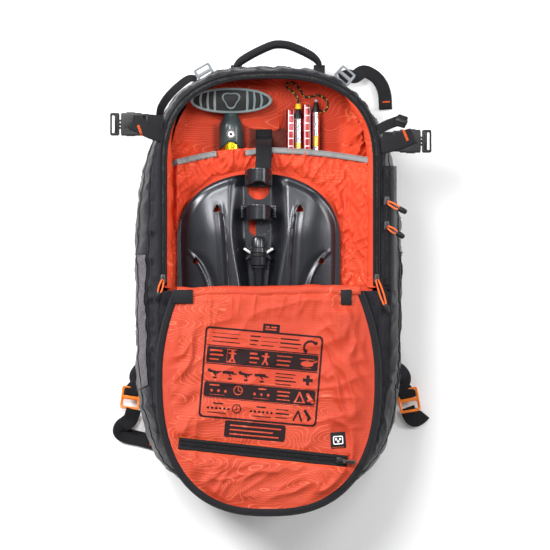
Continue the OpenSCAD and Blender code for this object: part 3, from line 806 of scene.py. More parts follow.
def stitches(name, path, material, pitch=4.0, length=2.7, radius=0.42, body="root"):
    """A row of separate thread stitches along a path."""
    path = np.asarray(path, float)
    run = lengths(path)
    verts, faces = [], []
    sides = 6
    for start in np.arange(0.5, run[-1] - length, pitch):
        ends = [np.array([np.interp(start + d, run, path[:, k]) for k in range(3)]) for d in (0, length)]
        t = unit(ends[1] - ends[0])
        side = unit(np.cross(t, (0.01, 0.02, 1)))
        lift = np.cross(side, t)
        base = len(verts)
        for share, size in ((0, 0.25), (0.2, 1), (0.8, 1), (1, 0.25)):
            centre = ends[0] + (ends[1] - ends[0]) * share
            for k in range(sides):
                a = 2 * math.pi * k / sides
                verts.append(centre + radius * size * (math.cos(a) * side + math.sin(a) * lift))
        for r in range(3):
            for k in range(sides):
                m = (k + 1) % sides
                faces.append((base + r * sides + k, base + r * sides + m,
                              base + (r + 1) * sides + m, base + (r + 1) * sides + k))
    return adopt(make_mesh(name, verts, faces, material), body)


# ------------------------------------------------------------------ outlines of the pack

def spow(v, p):
    """A power that keeps the sign."""
    return np.sign(v) * np.abs(v) ** p


# powers of the superellipses: the body above and below its middle, and the arch of the opening
BODY_TOP_POWER, BODY_BASE_POWER, ARCH_POWER = 2.75, 4.0, 2.6
FACE_INSET = 28          # from the body's outline to the flat front face, below the fold
SHELL_MID_Z = 118        # where the shell starts to turn in towards the front face


def body_at(angle, inset=0.0):
    """The body's outline in plan, at an angle in radians, as in the frame."""
    top = np.sin(angle) > 0
    power = np.where(top, 2 / BODY_TOP_POWER, 2 / BODY_BASE_POWER)
    reach = np.where(top, BODY_TOP, BODY_BASE)
    x = BODY_X + (BODY_HALF_W - inset) * spow(np.cos(angle), power)
    y = (reach - inset) * spow(np.sin(angle), power)
    return np.stack([x, y], -1)


def arch_at(angle, grow=0.0):
    """The arch of the front opening, at an angle from its right springing."""
    rise = OPEN_TOP - OPEN_SPRING
    x = (OPEN_HALF_W + grow) * spow(np.cos(angle), 2 / ARCH_POWER)
    y = OPEN_SPRING + (rise + grow) * spow(np.sin(angle), 2 / ARCH_POWER)
    return np.stack([x, y], -1)


def even(path, count, closed=False):
    """A path cut into points at even distances."""
    path = np.asarray(path, float)
    if closed:
        path = np.concatenate([path, path[:1]])
    run = lengths(path)
    at = np.linspace(0, run[-1], count + 1)[:-1] if closed else np.linspace(0, run[-1], count)
    return np.stack([np.interp(at, run, path[:, k]) for k in range(path.shape[1])], -1)


FOLD_Y = PANEL_EDGE + 2.5


def opening_path(grow, low, count=220):
    """The U of the front opening from its right foot, over the arch, to its left foot."""
    arch = arch_at(np.linspace(0, math.pi, 160), grow)
    path = np.concatenate([[[OPEN_HALF_W + grow, low]], arch, [[-OPEN_HALF_W - grow, low]]])
    return even(path, count)


# ------------------------------------------------------------------ shell of the pack

SHELL_N = 440


def shell_rings():
    """Outer outline of the body and the matching inner line where the front face ends."""
    angle = np.linspace(0, 2 * math.pi, 2400, endpoint=False)
    outer = body_at(angle)
    spring = math.asin((OPEN_SPRING / BODY_TOP) ** (BODY_TOP_POWER / 2))
    share = np.clip((np.where(angle > math.pi / 2, math.pi - angle, angle)
                     - spring) / (math.pi / 2 - spring), 0, 1)
    arch = arch_at(share * math.pi / 2, ZIP_W)
    arch[:, 0] = np.where(angle > math.pi / 2, -np.abs(arch[:, 0]), np.abs(arch[:, 0]))
    side = np.stack([np.sign(outer[:, 0] - BODY_X) * (OPEN_HALF_W + ZIP_W), outer[:, 1]], -1)
    low = body_at(angle, FACE_INSET)
    inner = np.where((outer[:, 1] > OPEN_SPRING)[:, None], arch, side)
    under = smoothstep((FOLD_Y + 30 - outer[:, 1]) / 60)[:, None]
    inner = inner * (1 - under) + low * under
    run = lengths(outer)
    at = np.linspace(0, run[-1], SHELL_N, endpoint=False)
    pick = [np.stack([np.interp(at, run, ring[:, k]) for k in (0, 1)], -1) for ring in (outer, inner)]
    return pick[0], pick[1]


def shell_point(outer, inner, t):
    """A ring of the shell, from t = 0 at the back panel to t = 1 at the zip."""
    centre = np.array([BODY_X, 0.0])
    away = unit(outer - centre)
    if t < 0.5:
        z = np.interp(t, [0, 0.1, 0.2, 0.5], [BACK_LOW + 1, BACK_LOW + 6, BACK_HIGH, SHELL_MID_Z])
        push = np.interp(t, [0, 0.1, 0.2, 0.35, 0.5], [-7, -1.5, 0, 3.5, 2.5])
        plan = outer + away * push
    else:
        phi = (t - 0.5) * math.pi
        w = 1 - math.cos(phi) ** 0.85
        z = SHELL_MID_Z + (RIM_Z + 0.8 - SHELL_MID_Z) * math.sin(phi) ** 0.8
        plan = outer * (1 - w) + inner * w + away * 2.5 * math.cos(phi)
    return np.concatenate([plan, np.full((len(plan), 1), z)], -1)


def build_shell(mats):
    outer, inner = shell_rings()
    ts = np.concatenate([np.linspace(0, 0.5, 26), np.linspace(0.5, 1.0, 44)[1:]])
    grid = np.array([shell_point(outer, inner, t) for t in ts])
    rows, cols = grid.shape[:2]
    flat = grid.reshape(-1, 3)
    du = np.roll(grid, -1, 1) - np.roll(grid, 1, 1)
    dv = np.gradient(grid, axis=0)
    normal = unit(np.cross(du, dv)).reshape(-1, 3)
    t_all = np.repeat(ts, cols)
    calm = smoothstep((1 - t_all) / 0.12)
    wave = 2.2 * noise_at(flat, 90, 1, 2) + 2.8 * (creases(flat, 60, 2, 62) - 0.3)
    wave += 1.5 * (creases(flat, 30, 4, -35, 2.4) - 0.3)
    seams = sum(np.exp(-((t_all - c) / 0.012) ** 2) for c in (0.66, 0.86))
    lift = (wave * calm - 1.3 * seams)
    flat = flat + normal * lift[:, None]
    flat[:, 2] = np.clip(flat[:, 2], BACK_LOW + 0.5, RIM_Z + 1.2)
    grid = flat.reshape(rows, cols, 3)
    mid = (grid[:-1] + grid[1:]) / 2
    x, t_mid = mid[..., 0], (ts[:-1] + ts[1:])[:, None] / 2
    along = np.broadcast_to((outer[:, 1] + np.roll(outer[:, 1], -1))[None] / 2, x.shape)
    grey = (x < 0) & (along > -146) & (along < 30) & (t_mid > 0.16) & (t_mid < 0.84)
    grey |= (x > 0) & (along > -146) & (along < 30) & (t_mid > 0.16) & (t_mid < 0.62)
    shell = grid_mesh("pack_shell", grid, [mats["shell"], mats["side"]], wrap=True,
                      indices=grey.astype(int).ravel())
    adopt(shell, "root", ("side_wall_left", "side_wall_right", "airbag_cover", "bottom_wall",
                          "front_border"), "shell_fabric")
    for k, (t, size) in enumerate(((0.66, 1.5), (0.86, 1.3), (0.2, 1.0))):
        row = int(np.argmin(np.abs(ts - t)))
        path = grid[row] + normal.reshape(rows, cols, 3)[row] * (0.5 if k < 2 else -0.2)
        adopt(sweep(f"shell_piping_{k}", path, round_section(size, 8), mats["binding"], closed=True),
              "root")
    raised = grid + normal.reshape(rows, cols, 3) * 0.3
    for side, cells in (("left", grey & (x < 0)), ("right", grey & (x > 0))):
        across, down = np.nonzero(cells.any(0))[0], np.nonzero(cells.any(1))[0]
        if across[-1] - across[0] > cols / 2:
            across = np.concatenate([across[across > cols / 2], across[across < cols / 2]])
        across = np.append(across, (across[-1] + 1) % cols)
        r0, r1 = down[0], down[-1] + 1
        welt = np.concatenate([raised[r0, across], raised[r0:r1 + 1, across[-1]][1:-1],
                               raised[r1, across[::-1]], raised[r0:r1 + 1, across[0]][::-1][1:-1]])
        adopt(sweep(f"flank_welt_{side}", welt, round_section(0.9, 8), mats["binding"], closed=True),
              "root")
    for k, (t, low) in enumerate(((0.70, -20), (0.90, -20))):
        row = int(np.argmin(np.abs(ts - t)))
        path = (grid[row] + normal.reshape(rows, cols, 3)[row] * 0.35)
        chosen = path[path[:, 1] > low]
        order = np.argsort(np.arctan2(chosen[:, 1] + 60, chosen[:, 0]))
        stitches(f"shell_stitching_{k}", chosen[order], mats["dark_stitch"], 3.6, 2.4, 0.35)
    # the face under the folded panel
    columns = np.linspace(-143, 143, 90)
    base = -(BODY_BASE - FACE_INSET) * (1 - np.clip(np.abs(columns / 143.5), 0, 1) ** 4) ** 0.25
    lower = np.array([[(BODY_X + x, b + (FOLD_Y - 1 - b) * s, RIM_Z - 1.2) for x, b in zip(columns, base)]
                      for s in np.linspace(0, 1, 60)])
    bumps = noise_at(lower.reshape(-1, 3), 55, 6, 2).reshape(lower.shape[:2])
    lower[..., 2] += np.clip(bumps, -1, 0.6)
    adopt(grid_mesh("pack_lower_face", lower, mats["shell"]), "root", (), "shell_fabric")
    return surface_of(shell)


# ------------------------------------------------------------------ zips

def coil_teeth(name, path, material, pitch=2.1, width=3.6, body="root", height=1.0):
    """The two rows of coil that mesh along a closed zip: one small bridged loop at each pitch."""
    path = np.asarray(path, float)
    run = lengths(path)
    verts, faces = [], []
    for n, start in enumerate(np.arange(1, run[-1] - 1, pitch)):
        centre = np.array([np.interp(start, run, path[:, k]) for k in range(3)])
        after = np.array([np.interp(start + 0.5, run, path[:, k]) for k in range(3)])
        t = unit(after - centre)
        side = unit(np.cross(t, (0.001, 0.002, 1)))
        lift = np.cross(side, t)
        shift = 0.35 * (-1) ** n
        base = len(verts)
        for across, size in ((-0.5, 0.35), (-0.36, 1.0), (0.36, 1.0), (0.5, 0.35)):
            spot = centre + side * (across * width + shift)
            for du, dw in ((-0.36, -0.5), (0.36, -0.5), (0.3, 0.5), (-0.3, 0.5)):
                verts.append(spot + t * du * pitch * size + lift * dw * height * size)
        for r in range(3):
            for k in range(4):
                m = (k + 1) % 4
                faces.append((base + r * 4 + k, base + (r + 1) * 4 + k, base + (r + 1) * 4 + m,
                              base + r * 4 + m))
        faces.append((base, base + 1, base + 2, base + 3))
        faces.append((base + 15, base + 14, base + 13, base + 12))
    return adopt(make_mesh(name, verts, faces, material, smooth=False), body)


def build_zips(mats):
    centre = opening_path(4, -12)
    z = np.full((len(centre), 1), RIM_Z + 2.1)
    path = np.concatenate([centre, z], -1)
    wave = 0.5 * noise_at(path, 30, 8, 2)
    path[:, 2] += np.clip(wave, -0.5, 0.8)
    tape = sweep("main_zip_tape", path, tape_section(ZIP_W + 2.5, 1.3), mats["tape"])
    adopt(tape, "root", "main_zip", "zip_black")
    coil_teeth("main_zip_coil", path + [0, 0, 1.2], mats["teeth"])
    for k, grow in enumerate((0.6, 7.6)):
        edge = opening_path(grow, -12)
        line = np.concatenate([edge, path[:, 2:] + 0.75], -1)
        adopt(sweep(f"main_zip_edge_{k}", line, tape_section(2.2, 1.6), mats["binding"]), "root")
    side_low, side_high = node_box("side_zip")
    x = (side_low[0] + side_high[0]) / 2
    line = np.array([(x, y, RIM_Z + 0.9) for y in np.linspace(side_low[1], side_high[1], 60)])
    tape = sweep("side_zip_tape", line, tape_section(8.5, 1.2), mats["tape"])
    adopt(tape, "root", "side_zip", "zip_black")
    coil_teeth("side_zip_coil", line + [0, 0, 0.95], mats["teeth"], width=3.0)
    # a fabric ramp carries the side zip off the rounded shoulder of the pack
    grid = np.array([[(x + dx, y, RIM_Z + dz) for dx, dz in ((-6, 0.1), (-4, 0.4), (4.2, 0.4), (6, -1.4),
                                                             (9, -6), (13, -17))]
                     for y in np.linspace(side_low[1] - 6, side_high[1] + 6, 70)])
    ends = np.abs(np.linspace(-1, 1, 70)) ** 6
    grid[..., 2] -= ends[:, None] * 3
    adopt(give_thickness(grid_mesh("side_zip_garage", grid, mats["shell"]), 0.8), "root")


# ------------------------------------------------------------------ lining

# what the shaft, the grip and the probe cover in plan: left, low, right and high
TOOL_ZONES = ((-69, -130, -33, 222), (-108, 181, 6, 254), (16, -224, 82, 266))


def clear_of_tools(x, y):
    """Distance in plan to the nearest stowed tool, in millimetres."""
    best = np.full(np.shape(x), 1e3)
    for x0, y0, x1, y1 in TOOL_ZONES:
        dx = np.maximum(np.maximum(x0 - x, x - x1), 0)
        dy = np.maximum(np.maximum(y0 - y, y - y1), 0)
        best = np.minimum(best, np.hypot(dx, dy))
    return best


def build_lining(mats):
    # wall and lip, from under the zip tape to the floor
    profile = [(-3, 203.2), (0, 203.6), (2.0, 203.0), (5.0, 200.5), (8, 197), (9.0, 192), (7.5, 187),
               (3, 181), (0, 172), (-2, 160), (-3, 148), (-2, 138), (2, 132.5), (9, 130.2)]
    count = 300
    base = opening_path(0, FOLD_Y + 3, count)
    rows = []
    for k, (inset, z) in enumerate(profile):
        ring = opening_path(-inset, FOLD_Y + 3, count)
        near = 1 - smoothstep((clear_of_tools(base[:, 0], base[:, 1]) - 8) / 26)
        if k > 1:
            outside = opening_path(5 * float(smoothstep((200 - z) / 8)) - 0.5, FOLD_Y + 3, count)
            ring = ring * (1 - near[:, None]) + outside * near[:, None]
        row = np.concatenate([ring, np.full((count, 1), z)], -1)
        loose = smoothstep((k - 1) / 3)
        bump = noise_at(np.concatenate([base, np.full((count, 1), z * 0.7)], -1), 26, 11, 2)
        inward = -unit(base - np.array([0, 90.0]))
        row[:, :2] += inward * (bump * 2.6 * loose)[:, None] * (1 - near[:, None])
        row[:, 2] += 1.2 * loose * noise_at(row, 17, 12, 2)
        rows.append(row)
    wall = subdivide(grid_mesh("lining_wall", np.array(rows), mats["lining"]))
    adopt(wall, "root")
    # floor of the compartment
    xs, ys = np.linspace(-130, 130, 150), np.linspace(-228, 262, 240)
    x, y = np.meshgrid(xs, ys)
    arch = (1 - np.clip((y - OPEN_SPRING) / 122, 0, 1) ** ARCH_POWER) ** (1 / ARCH_POWER)
    half = np.where(y > OPEN_SPRING, arch, 1.0)
    x = x * np.clip(half, 0.02, 1)
    points = np.stack([x, y, np.zeros_like(x)], -1).reshape(-1, 3)
    free = smoothstep(clear_of_tools(x, y) / 34)
    right = smoothstep((x - 84) / 40) * smoothstep((y - 60) / 90)
    left = smoothstep((-x - 84) / 30) * smoothstep((y - 120) / 40) * smoothstep((218 - y) / 30)
    folds = creases(points, 42, 21, 68).reshape(x.shape) + 0.7 * creases(points, 24, 23, 40).reshape(x.shape)
    z = LINING_FLOOR + 0.2 + free * (5 * folds + right * 26 + left * 14 + 9 * (right + left) * folds)
    z += 0.25 * noise_at(points, 9, 25, 2).reshape(x.shape)
    floor = grid_mesh("lining_floor", np.stack([x, y, z], -1), mats["lining"])
    shade = floor.data.color_attributes.new("deep", "FLOAT_COLOR", "POINT")
    # painted shade: a dark patch between the flap and the pocket mouth and beside the tools, where the
    # compartment lies deeper and falls in shadow
    painted_shade_mask = smoothstep((x + 34) / 10) * smoothstep((30 - x) / 8)
    painted_shade_mask = painted_shade_mask * smoothstep((y - 150) / 6) * smoothstep((200 - y) / 8)
    painted_shade_mask = np.maximum(painted_shade_mask, 0.8 * smoothstep((x - 14) / 8) * smoothstep((74 - x) / 10)
                      * smoothstep((215 - y) / 20)
                      * smoothstep((y - 120) / 20))
    painted_shade_mask = np.maximum(painted_shade_mask, 0.55 * smoothstep((x + 78) / 6) * smoothstep((-26 - x) / 6)
                      * smoothstep((205 - y) / 12)
                      * smoothstep((y - 120) / 20))
    value = np.repeat((painted_shade_mask.ravel())[:, None], 4, axis=1).astype(np.float32)
    shade.data.foreach_set("color", value.ravel())
    floor.data.materials.clear()
    floor.data.materials.append(mats["deep_lining"])
    adopt(floor, "root", ("front_lining", "divider"), "lining_fabric")
    build_flap(mats)


def build_flap(mats):
    """The lining's hanging top, that sags towards the middle of the compartment."""
    edge = curve_through([(-84, 214, 0), (-66, 206, 0), (-44, 200, 0), (-18, 192, 0), (4, 191, 0),
                          (13, 195, 0), (17, 206, 0), (18, 222, 0)], 10)
    top = curve_through([(-112, 226, 0), (-96, 238, 0), (-66, 250, 0), (-30, 256, 0), (0, 258, 0),
                         (10, 257, 0), (16, 252, 0), (20, 246, 0)], 10)
    n = len(edge)
    grid = np.array([edge * (1 - s) + top * s for s in np.linspace(0, 1, 44)])
    flat = grid.reshape(-1, 3)
    free = smoothstep(clear_of_tools(grid[..., 0], grid[..., 1]) / 16)
    run = np.linspace(0, 1, 44)[:, None]
    folds = creases(flat, 30, 31, 80).reshape(44, n)
    grid[..., 2] = LINING_FLOOR + 0.7 + free * (7 * (1 - run) ** 2 + 5 * folds)
    grid[0, :, 2] -= 0.5
    flap = subdivide(give_thickness(grid_mesh("top_flap_cloth", grid, mats["lining"]), 0.5, 1))
    adopt(flap, "root", "top_flap", "lining_fabric")
    seam = grid[1] + [0, 0, 0.4]
    stitches("top_flap_stitching", seam, mats["dark_stitch"], 3.4, 2.2, 0.3)


# ------------------------------------------------------------------ tool pocket

def mouth_y(x):
    """The mouth of the tool pocket, which dips towards its ends."""
    drop = np.where(x < -10, 20, 11)
    return POCKET_HIGH[1] + 1 - drop * ((x + 10) / 125) ** 2


BLADE_SHOULDER, BLADE_ARCH, BLADE_POWER = 47.0, 87.0, 2.2


def blade_edge_y(x):
    """Upper edge of the shovel blade over x, and far below where there's no blade."""
    share = np.clip(np.abs(x - BLADE_X) / BLADE_HALF_W, 0, 1)
    top = BLADE_SHOULDER + BLADE_ARCH * (1 - share ** BLADE_POWER) ** (1 / BLADE_POWER)
    return np.where(np.abs(x - BLADE_X) < BLADE_HALF_W + 2, top, -400)


def pocket_height(x, y):
    """Height of the pocket's cloth: flat under the blade, and rising to the rim at its sides."""
    side = np.maximum(0, np.abs(x - BLADE_X) - BLADE_HALF_W)
    above = np.maximum(0, y - blade_edge_y(x))
    away = np.where(side > 0, side, np.minimum(above, 200))
    edge = smoothstep(1 - (133 - np.abs(x)) / 36)
    want = 26 * edge
    limit = np.maximum(0, away - 1.5) * 1.7
    return np.minimum(want, limit)


def build_pocket(mats):
    sheet_z = node_box("pocket_binding")[0][2] - 0.6
    xs, run = np.linspace(-133.5, 133.5, 190), np.linspace(0, 1, 200)
    x = np.broadcast_to(xs, (200, 190))
    low = FOLD_Y - 50
    y = low + (mouth_y(x) - low) * run[:, None]
    z = sheet_z + pocket_height(x, y)
    points = np.stack([x, y, z], -1)
    flat = points.reshape(-1, 3)
    over = smoothstep((y - blade_edge_y(x) - 3) / 16)
    mouth = np.exp(-(mouth_y(x) - y) / 15)
    ruffle = np.sin(x / 2.15 + 2.2 * noise_at(flat, 26, 41, 2).reshape(x.shape))
    folds = creases(flat, 44, 43, 62, 3.2).reshape(x.shape) + creases(flat, 30, 44, 108, 3).reshape(x.shape)
    z = z + over * (1.5 * mouth * ruffle + 3.2 * folds)
    z += over * 2.2 * (np.exp(-((x - SHAFT_X) / 15) ** 2)
                       + np.exp(-((x - 43) / 22) ** 2)) * smoothstep((y - 90) / 40)
    z += (1 - over) * -0.6
    points = np.stack([x, y, z], -1)
    cloth = grid_mesh("tool_pocket_cloth", points, mats["lining"])
    hold = np.zeros(x.shape)
    hold[:, :2] = hold[:, -2:] = hold[-1:, :] = hold[:2, :] = 1
    hold[(y < blade_edge_y(x) + 4)] = 1
    crumple(cloth, hold.ravel(), 0.022, 0.25, 4.0)
    give_thickness(cloth, 0.5)
    adopt(cloth, "root", "inner_pocket", "lining_fabric")
    tree = surface_of(cloth)
    for k, (x0, x1) in enumerate(((-128, -70), (-32, 129))):
        xs = np.linspace(x0, x1, 100)
        line = []
        for x in xs:
            y = float(mouth_y(x)) - 3.2
            top = max(height_on(tree, x + dx, y + dy, sheet_z)
                      for dx in (-1.5, 1.5) for dy in (-4.2, -2, 0, 2, 3))
            line.append((x, y, top + 0.9))
        line = np.array(line)
        line[:, 2] = np.convolve(np.pad(line[:, 2], 4, mode="edge"), np.ones(9) / 9, mode="valid")
        if k == 1:
            tuck = smoothstep((xs + 32) / 26)
            line[:, 1] += (1 - tuck) * -3.0
        wave = 0.35 * np.sin(xs / 2.4)
        line[:, 2] += wave
        band = sweep(f"pocket_binding_{k}", line, tape_section(7.6, 1.5), mats["grey_binding"])
        adopt(band, "root", "pocket_binding" if k == 0 else (), "binding_grey")
        for m, dy in enumerate((-2.6, 2.4)):
            stitches(f"pocket_stitching_{k}_{m}", line + [0, dy, 0.85], mats["dark_stitch"], 3.0, 2.0, 0.28)
    return tree


# ------------------------------------------------------------------ front panel

PANEL_WIDEST_Y = -130.0


def panel_half(y, inset=0.0):
    """Left and right edge of the panel at y, as in the frame."""
    y = np.asarray(y, float)
    rise = (y - PANEL_WIDEST_Y) / (PANEL_EDGE - PANEL_WIDEST_Y)
    upper = PANEL_HALF_W - (PANEL_HALF_W - 124) * rise ** 2 - inset
    share = np.clip((PANEL_WIDEST_Y - y) / (PANEL_WIDEST_Y - (PANEL_END + inset)), 0, 1)
    lower = (PANEL_HALF_W - inset) * (1 - share ** 2.5) ** (1 / 2.5)
    return np.where(y > PANEL_WIDEST_Y, upper, lower)


def panel_top(x, y):
    """The panel's top face before its cloth is gathered."""
    flat = np.stack([x, y, np.zeros_like(x)], -1).reshape(-1, 3)
    half = np.maximum(panel_half(y, 9), 1)
    rim = smoothstep((1 - np.abs(x - BODY_X) / half) * 5)
    end = smoothstep((y - PANEL_END - 8) / 30) * smoothstep((PANEL_EDGE - y + 3) / 14)
    folds = 5.6 * creases(flat, 74, 51, 70, 2.6).reshape(x.shape) * smoothstep((-x - 58) / 40)
    folds += 7.0 * creases(flat, 74, 52, 112, 2.6).reshape(x.shape) * smoothstep((x - 56) / 36)
    folds += 4.6 * creases(flat, 66, 53, 38, 2.4).reshape(x.shape) * smoothstep((-228 - y) / 20)
    folds += 2.6 * creases(flat, 90, 54, 12, 2.4).reshape(x.shape)
    folds += 2.4 * creases(flat, 60, 55, 84, 3).reshape(x.shape) * smoothstep((y + 62) / 22)
    for cx, cy, rx, ry in ((88, -212, 18, 20), (-112, -26, 24, 16), (98, -28, 14, 16)):
        folds *= 1 - np.exp(-(((x - cx) / rx) ** 4 + ((y - cy) / ry) ** 4))
    band = np.exp(-((y - zip_y(x)) / 10) ** 4) * (x < 104) * (x > -124)
    return PANEL_HIGH[2] - 0.3 + rim * end * (1.6 + folds * (1 - band)) - 0.9 * band


ZIP_FROM = np.array([98.0, -240.0])
PANEL_ZIP_ANGLE = 173.8
ZIP_DIR = np.array([math.cos(math.radians(PANEL_ZIP_ANGLE)), math.sin(math.radians(PANEL_ZIP_ANGLE))])


def zip_y(x):
    """Middle line of the panel's zip."""
    return ZIP_FROM[1] + (x - ZIP_FROM[0]) * ZIP_DIR[1] / ZIP_DIR[0]


def build_panel(mats):
    ys = PANEL_EDGE + (PANEL_END + 5 - PANEL_EDGE) * np.linspace(0, 1, 170)
    share = np.linspace(-1, 1, 180)
    x = BODY_X + panel_half(ys, 5)[:, None] * share[None, :]
    y = np.broadcast_to(ys[:, None], x.shape)
    top = np.stack([x, y, panel_top(x, y)], -1)
    cloth = grid_mesh("front_panel_cloth", top, mats["panel"])
    sewn = np.zeros(x.shape)
    sewn[:, :4] = sewn[:, -4:] = sewn[:3] = sewn[-4:] = 1
    sewn[np.abs(y - zip_y(x)) < 8] = 1
    near_print = (np.abs(x + 8) < 86) & (y > -212) & (y < -50)
    sewn[near_print & (sewn < 1)] = 0.3
    crumple(cloth, sewn.ravel(), 0.02, 0.35, 5.0)
    face = points_of(cloth)
    face[:, 2] = np.clip(face[:, 2], PANEL_LOW[2] + 3, PANEL_HIGH[2] + 9)
    grid = face.reshape(x.shape + (3,))
    tree = surface_of(cloth)
    bpy.data.objects.remove(cloth)
    back = grid[:, ::-1].copy()
    back[..., 2] = PANEL_LOW[2] - 0.2
    whole = np.concatenate([grid, back], axis=1)
    rows, cols = whole.shape[:2]
    index = np.zeros((rows - 1, cols), int)
    index[:, x.shape[1] - 1:] = 1
    panel = grid_mesh("front_panel_cloth", whole, [mats["panel"], mats["shell"]], wrap=True,
                      indices=index.ravel())
    work = bmesh.new()
    work.from_mesh(panel.data)
    work.verts.ensure_lookup_table()
    for row in (0, rows - 1):
        loop = [work.verts[row * cols + k] for k in range(cols)]
        work.faces.new(loop if row else loop[::-1])
    bmesh.ops.recalc_face_normals(work, faces=list(work.faces))
    work.to_mesh(panel.data)
    work.free()
    adopt(panel, "front_panel", "front_panel", "panel_fabric")
    build_panel_edge(mats)
    build_panel_zip(mats, tree)
    build_print(mats, tree)
    return tree


def build_panel_edge(mats):
    inset = 4.4
    ys = np.linspace(PANEL_EDGE, PANEL_WIDEST_Y, 40)
    right = np.stack([BODY_X + panel_half(ys, inset), ys], -1)
    angle = np.linspace(0, math.pi, 120)
    arc = np.stack([BODY_X + (PANEL_HALF_W - inset) * spow(np.cos(angle), 0.8),
                    PANEL_WIDEST_Y + (PANEL_END + inset - PANEL_WIDEST_Y) * spow(np.sin(angle), 0.8)], -1)
    left = np.stack([BODY_X - panel_half(ys, inset), ys], -1)[::-1]
    path = even(np.concatenate([right, arc[1:-1], left]), 260)
    z = (PANEL_LOW[2] + PANEL_HIGH[2]) / 2 + 0.5 + 0.5 * noise_at(np.c_[path, path[:, :1] * 0], 24, 61, 2)
    path = np.c_[path, z]
    section = oval_section(5.2, 4.1, 0.6, 0.75, 22)
    edge = sweep("panel_edge_binding", path, section, mats["binding"])
    adopt(edge, "front_panel", "panel_binding", "binding_black")
    inward = unit(np.cross(tangents(path), (0, 0, 1)))
    line = path - inward * 3.4 + [0, 0, 3.7]
    stitches("panel_edge_stitching", line, mats["dark_stitch"], 3.4, 2.3, 0.32, "front_panel")
    coil = path + inward * 5.0
    coil_teeth("panel_edge_coil", coil, mats["teeth"], width=2.4, body="front_panel", height=1.6)
    # fabric that turns over the hinge
    section = [(-13.5, 201.8), (-12.6, 204.5), (-13.4, 208.2), (-16.2, 210.9), (-20.2, 211.8),
               (-24.0, 210.6)]
    curve = curve_through([(0, a, b) for a, b in section], 5)
    xs = np.linspace(-121, 118, 110)
    bumps = noise_at(np.stack([xs, xs * 0, xs * 0], -1), 20, 63, 2)
    sag = 2.2 * np.exp(-((xs + 100) / 22) ** 2) - 1.6 * np.exp(-((xs - 60) / 40) ** 2)
    roll = np.array([[(x, p[1] + 1.1 * b - d, p[2] + 0.8 * b) for x, b, d in zip(xs, bumps, sag)]
                     for p in curve])
    strip = give_thickness(grid_mesh("panel_hinge_cloth", roll, mats["panel"]), 0.6)
    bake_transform(strip)
    low, high = node_box("panel_tabs")
    tab = block("panel_tab_wide", (low[0], low[1] + 2, high[2] + 0.2), (-100, high[1] + 3, high[2] + 2),
                mats["webbing"], 0.7)
    thin = block("panel_tab_slim", (92, low[1], high[2] + 0.2), (high[0] + 1, high[1] + 3, high[2] + 2),
                 mats["webbing"], 0.7)
    adopt(join("panel_tab_tapes", [tab, thin]), "front_panel", "panel_tabs", "webbing_black")


def build_panel_zip(mats, tree):
    path = []
    for s in np.linspace(-2, 218, 110):
        x, y = ZIP_FROM + ZIP_DIR * s
        path.append((x, y, PANEL_HIGH[2] + 0.9))
    path = np.array(path)
    across = np.array([-ZIP_DIR[1], ZIP_DIR[0], 0])
    tape = sweep("panel_zip_tape", path, tape_section(14, 1.1), mats["tape"])
    adopt(tape, "front_panel", "panel_zip", "zip_black")
    coil_teeth("panel_zip_coil", path + [0, 0, 0.9], mats["teeth"], pitch=1.9, width=4.4,
               body="front_panel")
    for k, offset in enumerate((-5.4, 5.4)):
        lip = sweep(f"panel_zip_lip_{k}", path + across * offset + [0, 0, 0.9], tape_section(4.2, 1.8),
                    mats["binding"])
        adopt(lip, "front_panel")
    for k, offset in enumerate((-8.3, 8.3)):
        line = path + across * offset
        line[:, 2] = [height_on(tree, x, y, PANEL_HIGH[2]) + 0.25 for x, y, _ in line]
        stitches(f"panel_zip_stitching_{k}", line, mats["stitch"], 3.3, 2.3, 0.38, "front_panel")
    low, high = node_box("panel_tag")
    centre = (low + high) / 2
    place = placed((centre[0] + 4.5, centre[1] - 5.5, PANEL_HIGH[2] + 1.6), 4)
    tag = block("panel_tag_cloth", (-9.8, -10.6, -0.9), (9.8, 10.6, 0.9), mats["tape"], 0.8, place)
    adopt(tag, "front_panel", "panel_tag", "tag_black")
    rim = plate("panel_tag_mark", [rounded_rect(-6.5, -5.5, 6.5, 5.5, 2),
                                   rounded_rect(-5.3, -4.3, 5.3, 4.3, 1.4)],
                0.85, 1.15, mats["white_paint"], 0.1, place)
    dots = [plate(f"panel_tag_dot_{k}", [ellipse(dx, dy, 1.5, 1.5, 16)], 0.85, 1.15, mats["white_paint"],
                  0.1, place)
            for k, (dx, dy) in enumerate(((-2.6, 1.3), (2.6, 1.3), (0, -1.6)))]
    adopt(join("panel_tag_mark", [rim] + dots), "front_panel")
    line = place(np.array([(x, -9.2, 1.1) for x in np.linspace(-8.8, 8.8, 10)]))
    stitches("panel_tag_stitching", line, mats["stitch"], 2.6, 1.9, 0.35, "front_panel")


# ------------------------------------------------------------------ print on the panel

PRINT_SCALE = 1.3        # millimetres for each unit of the print
PRINT_STEP = 0.62        # width of one face of it, in millimetres
PRINT_X, PRINT_Y, PRINT_SPIN = -83.0, -60.0, -5.2        # its upper left corner, and its turn in degrees


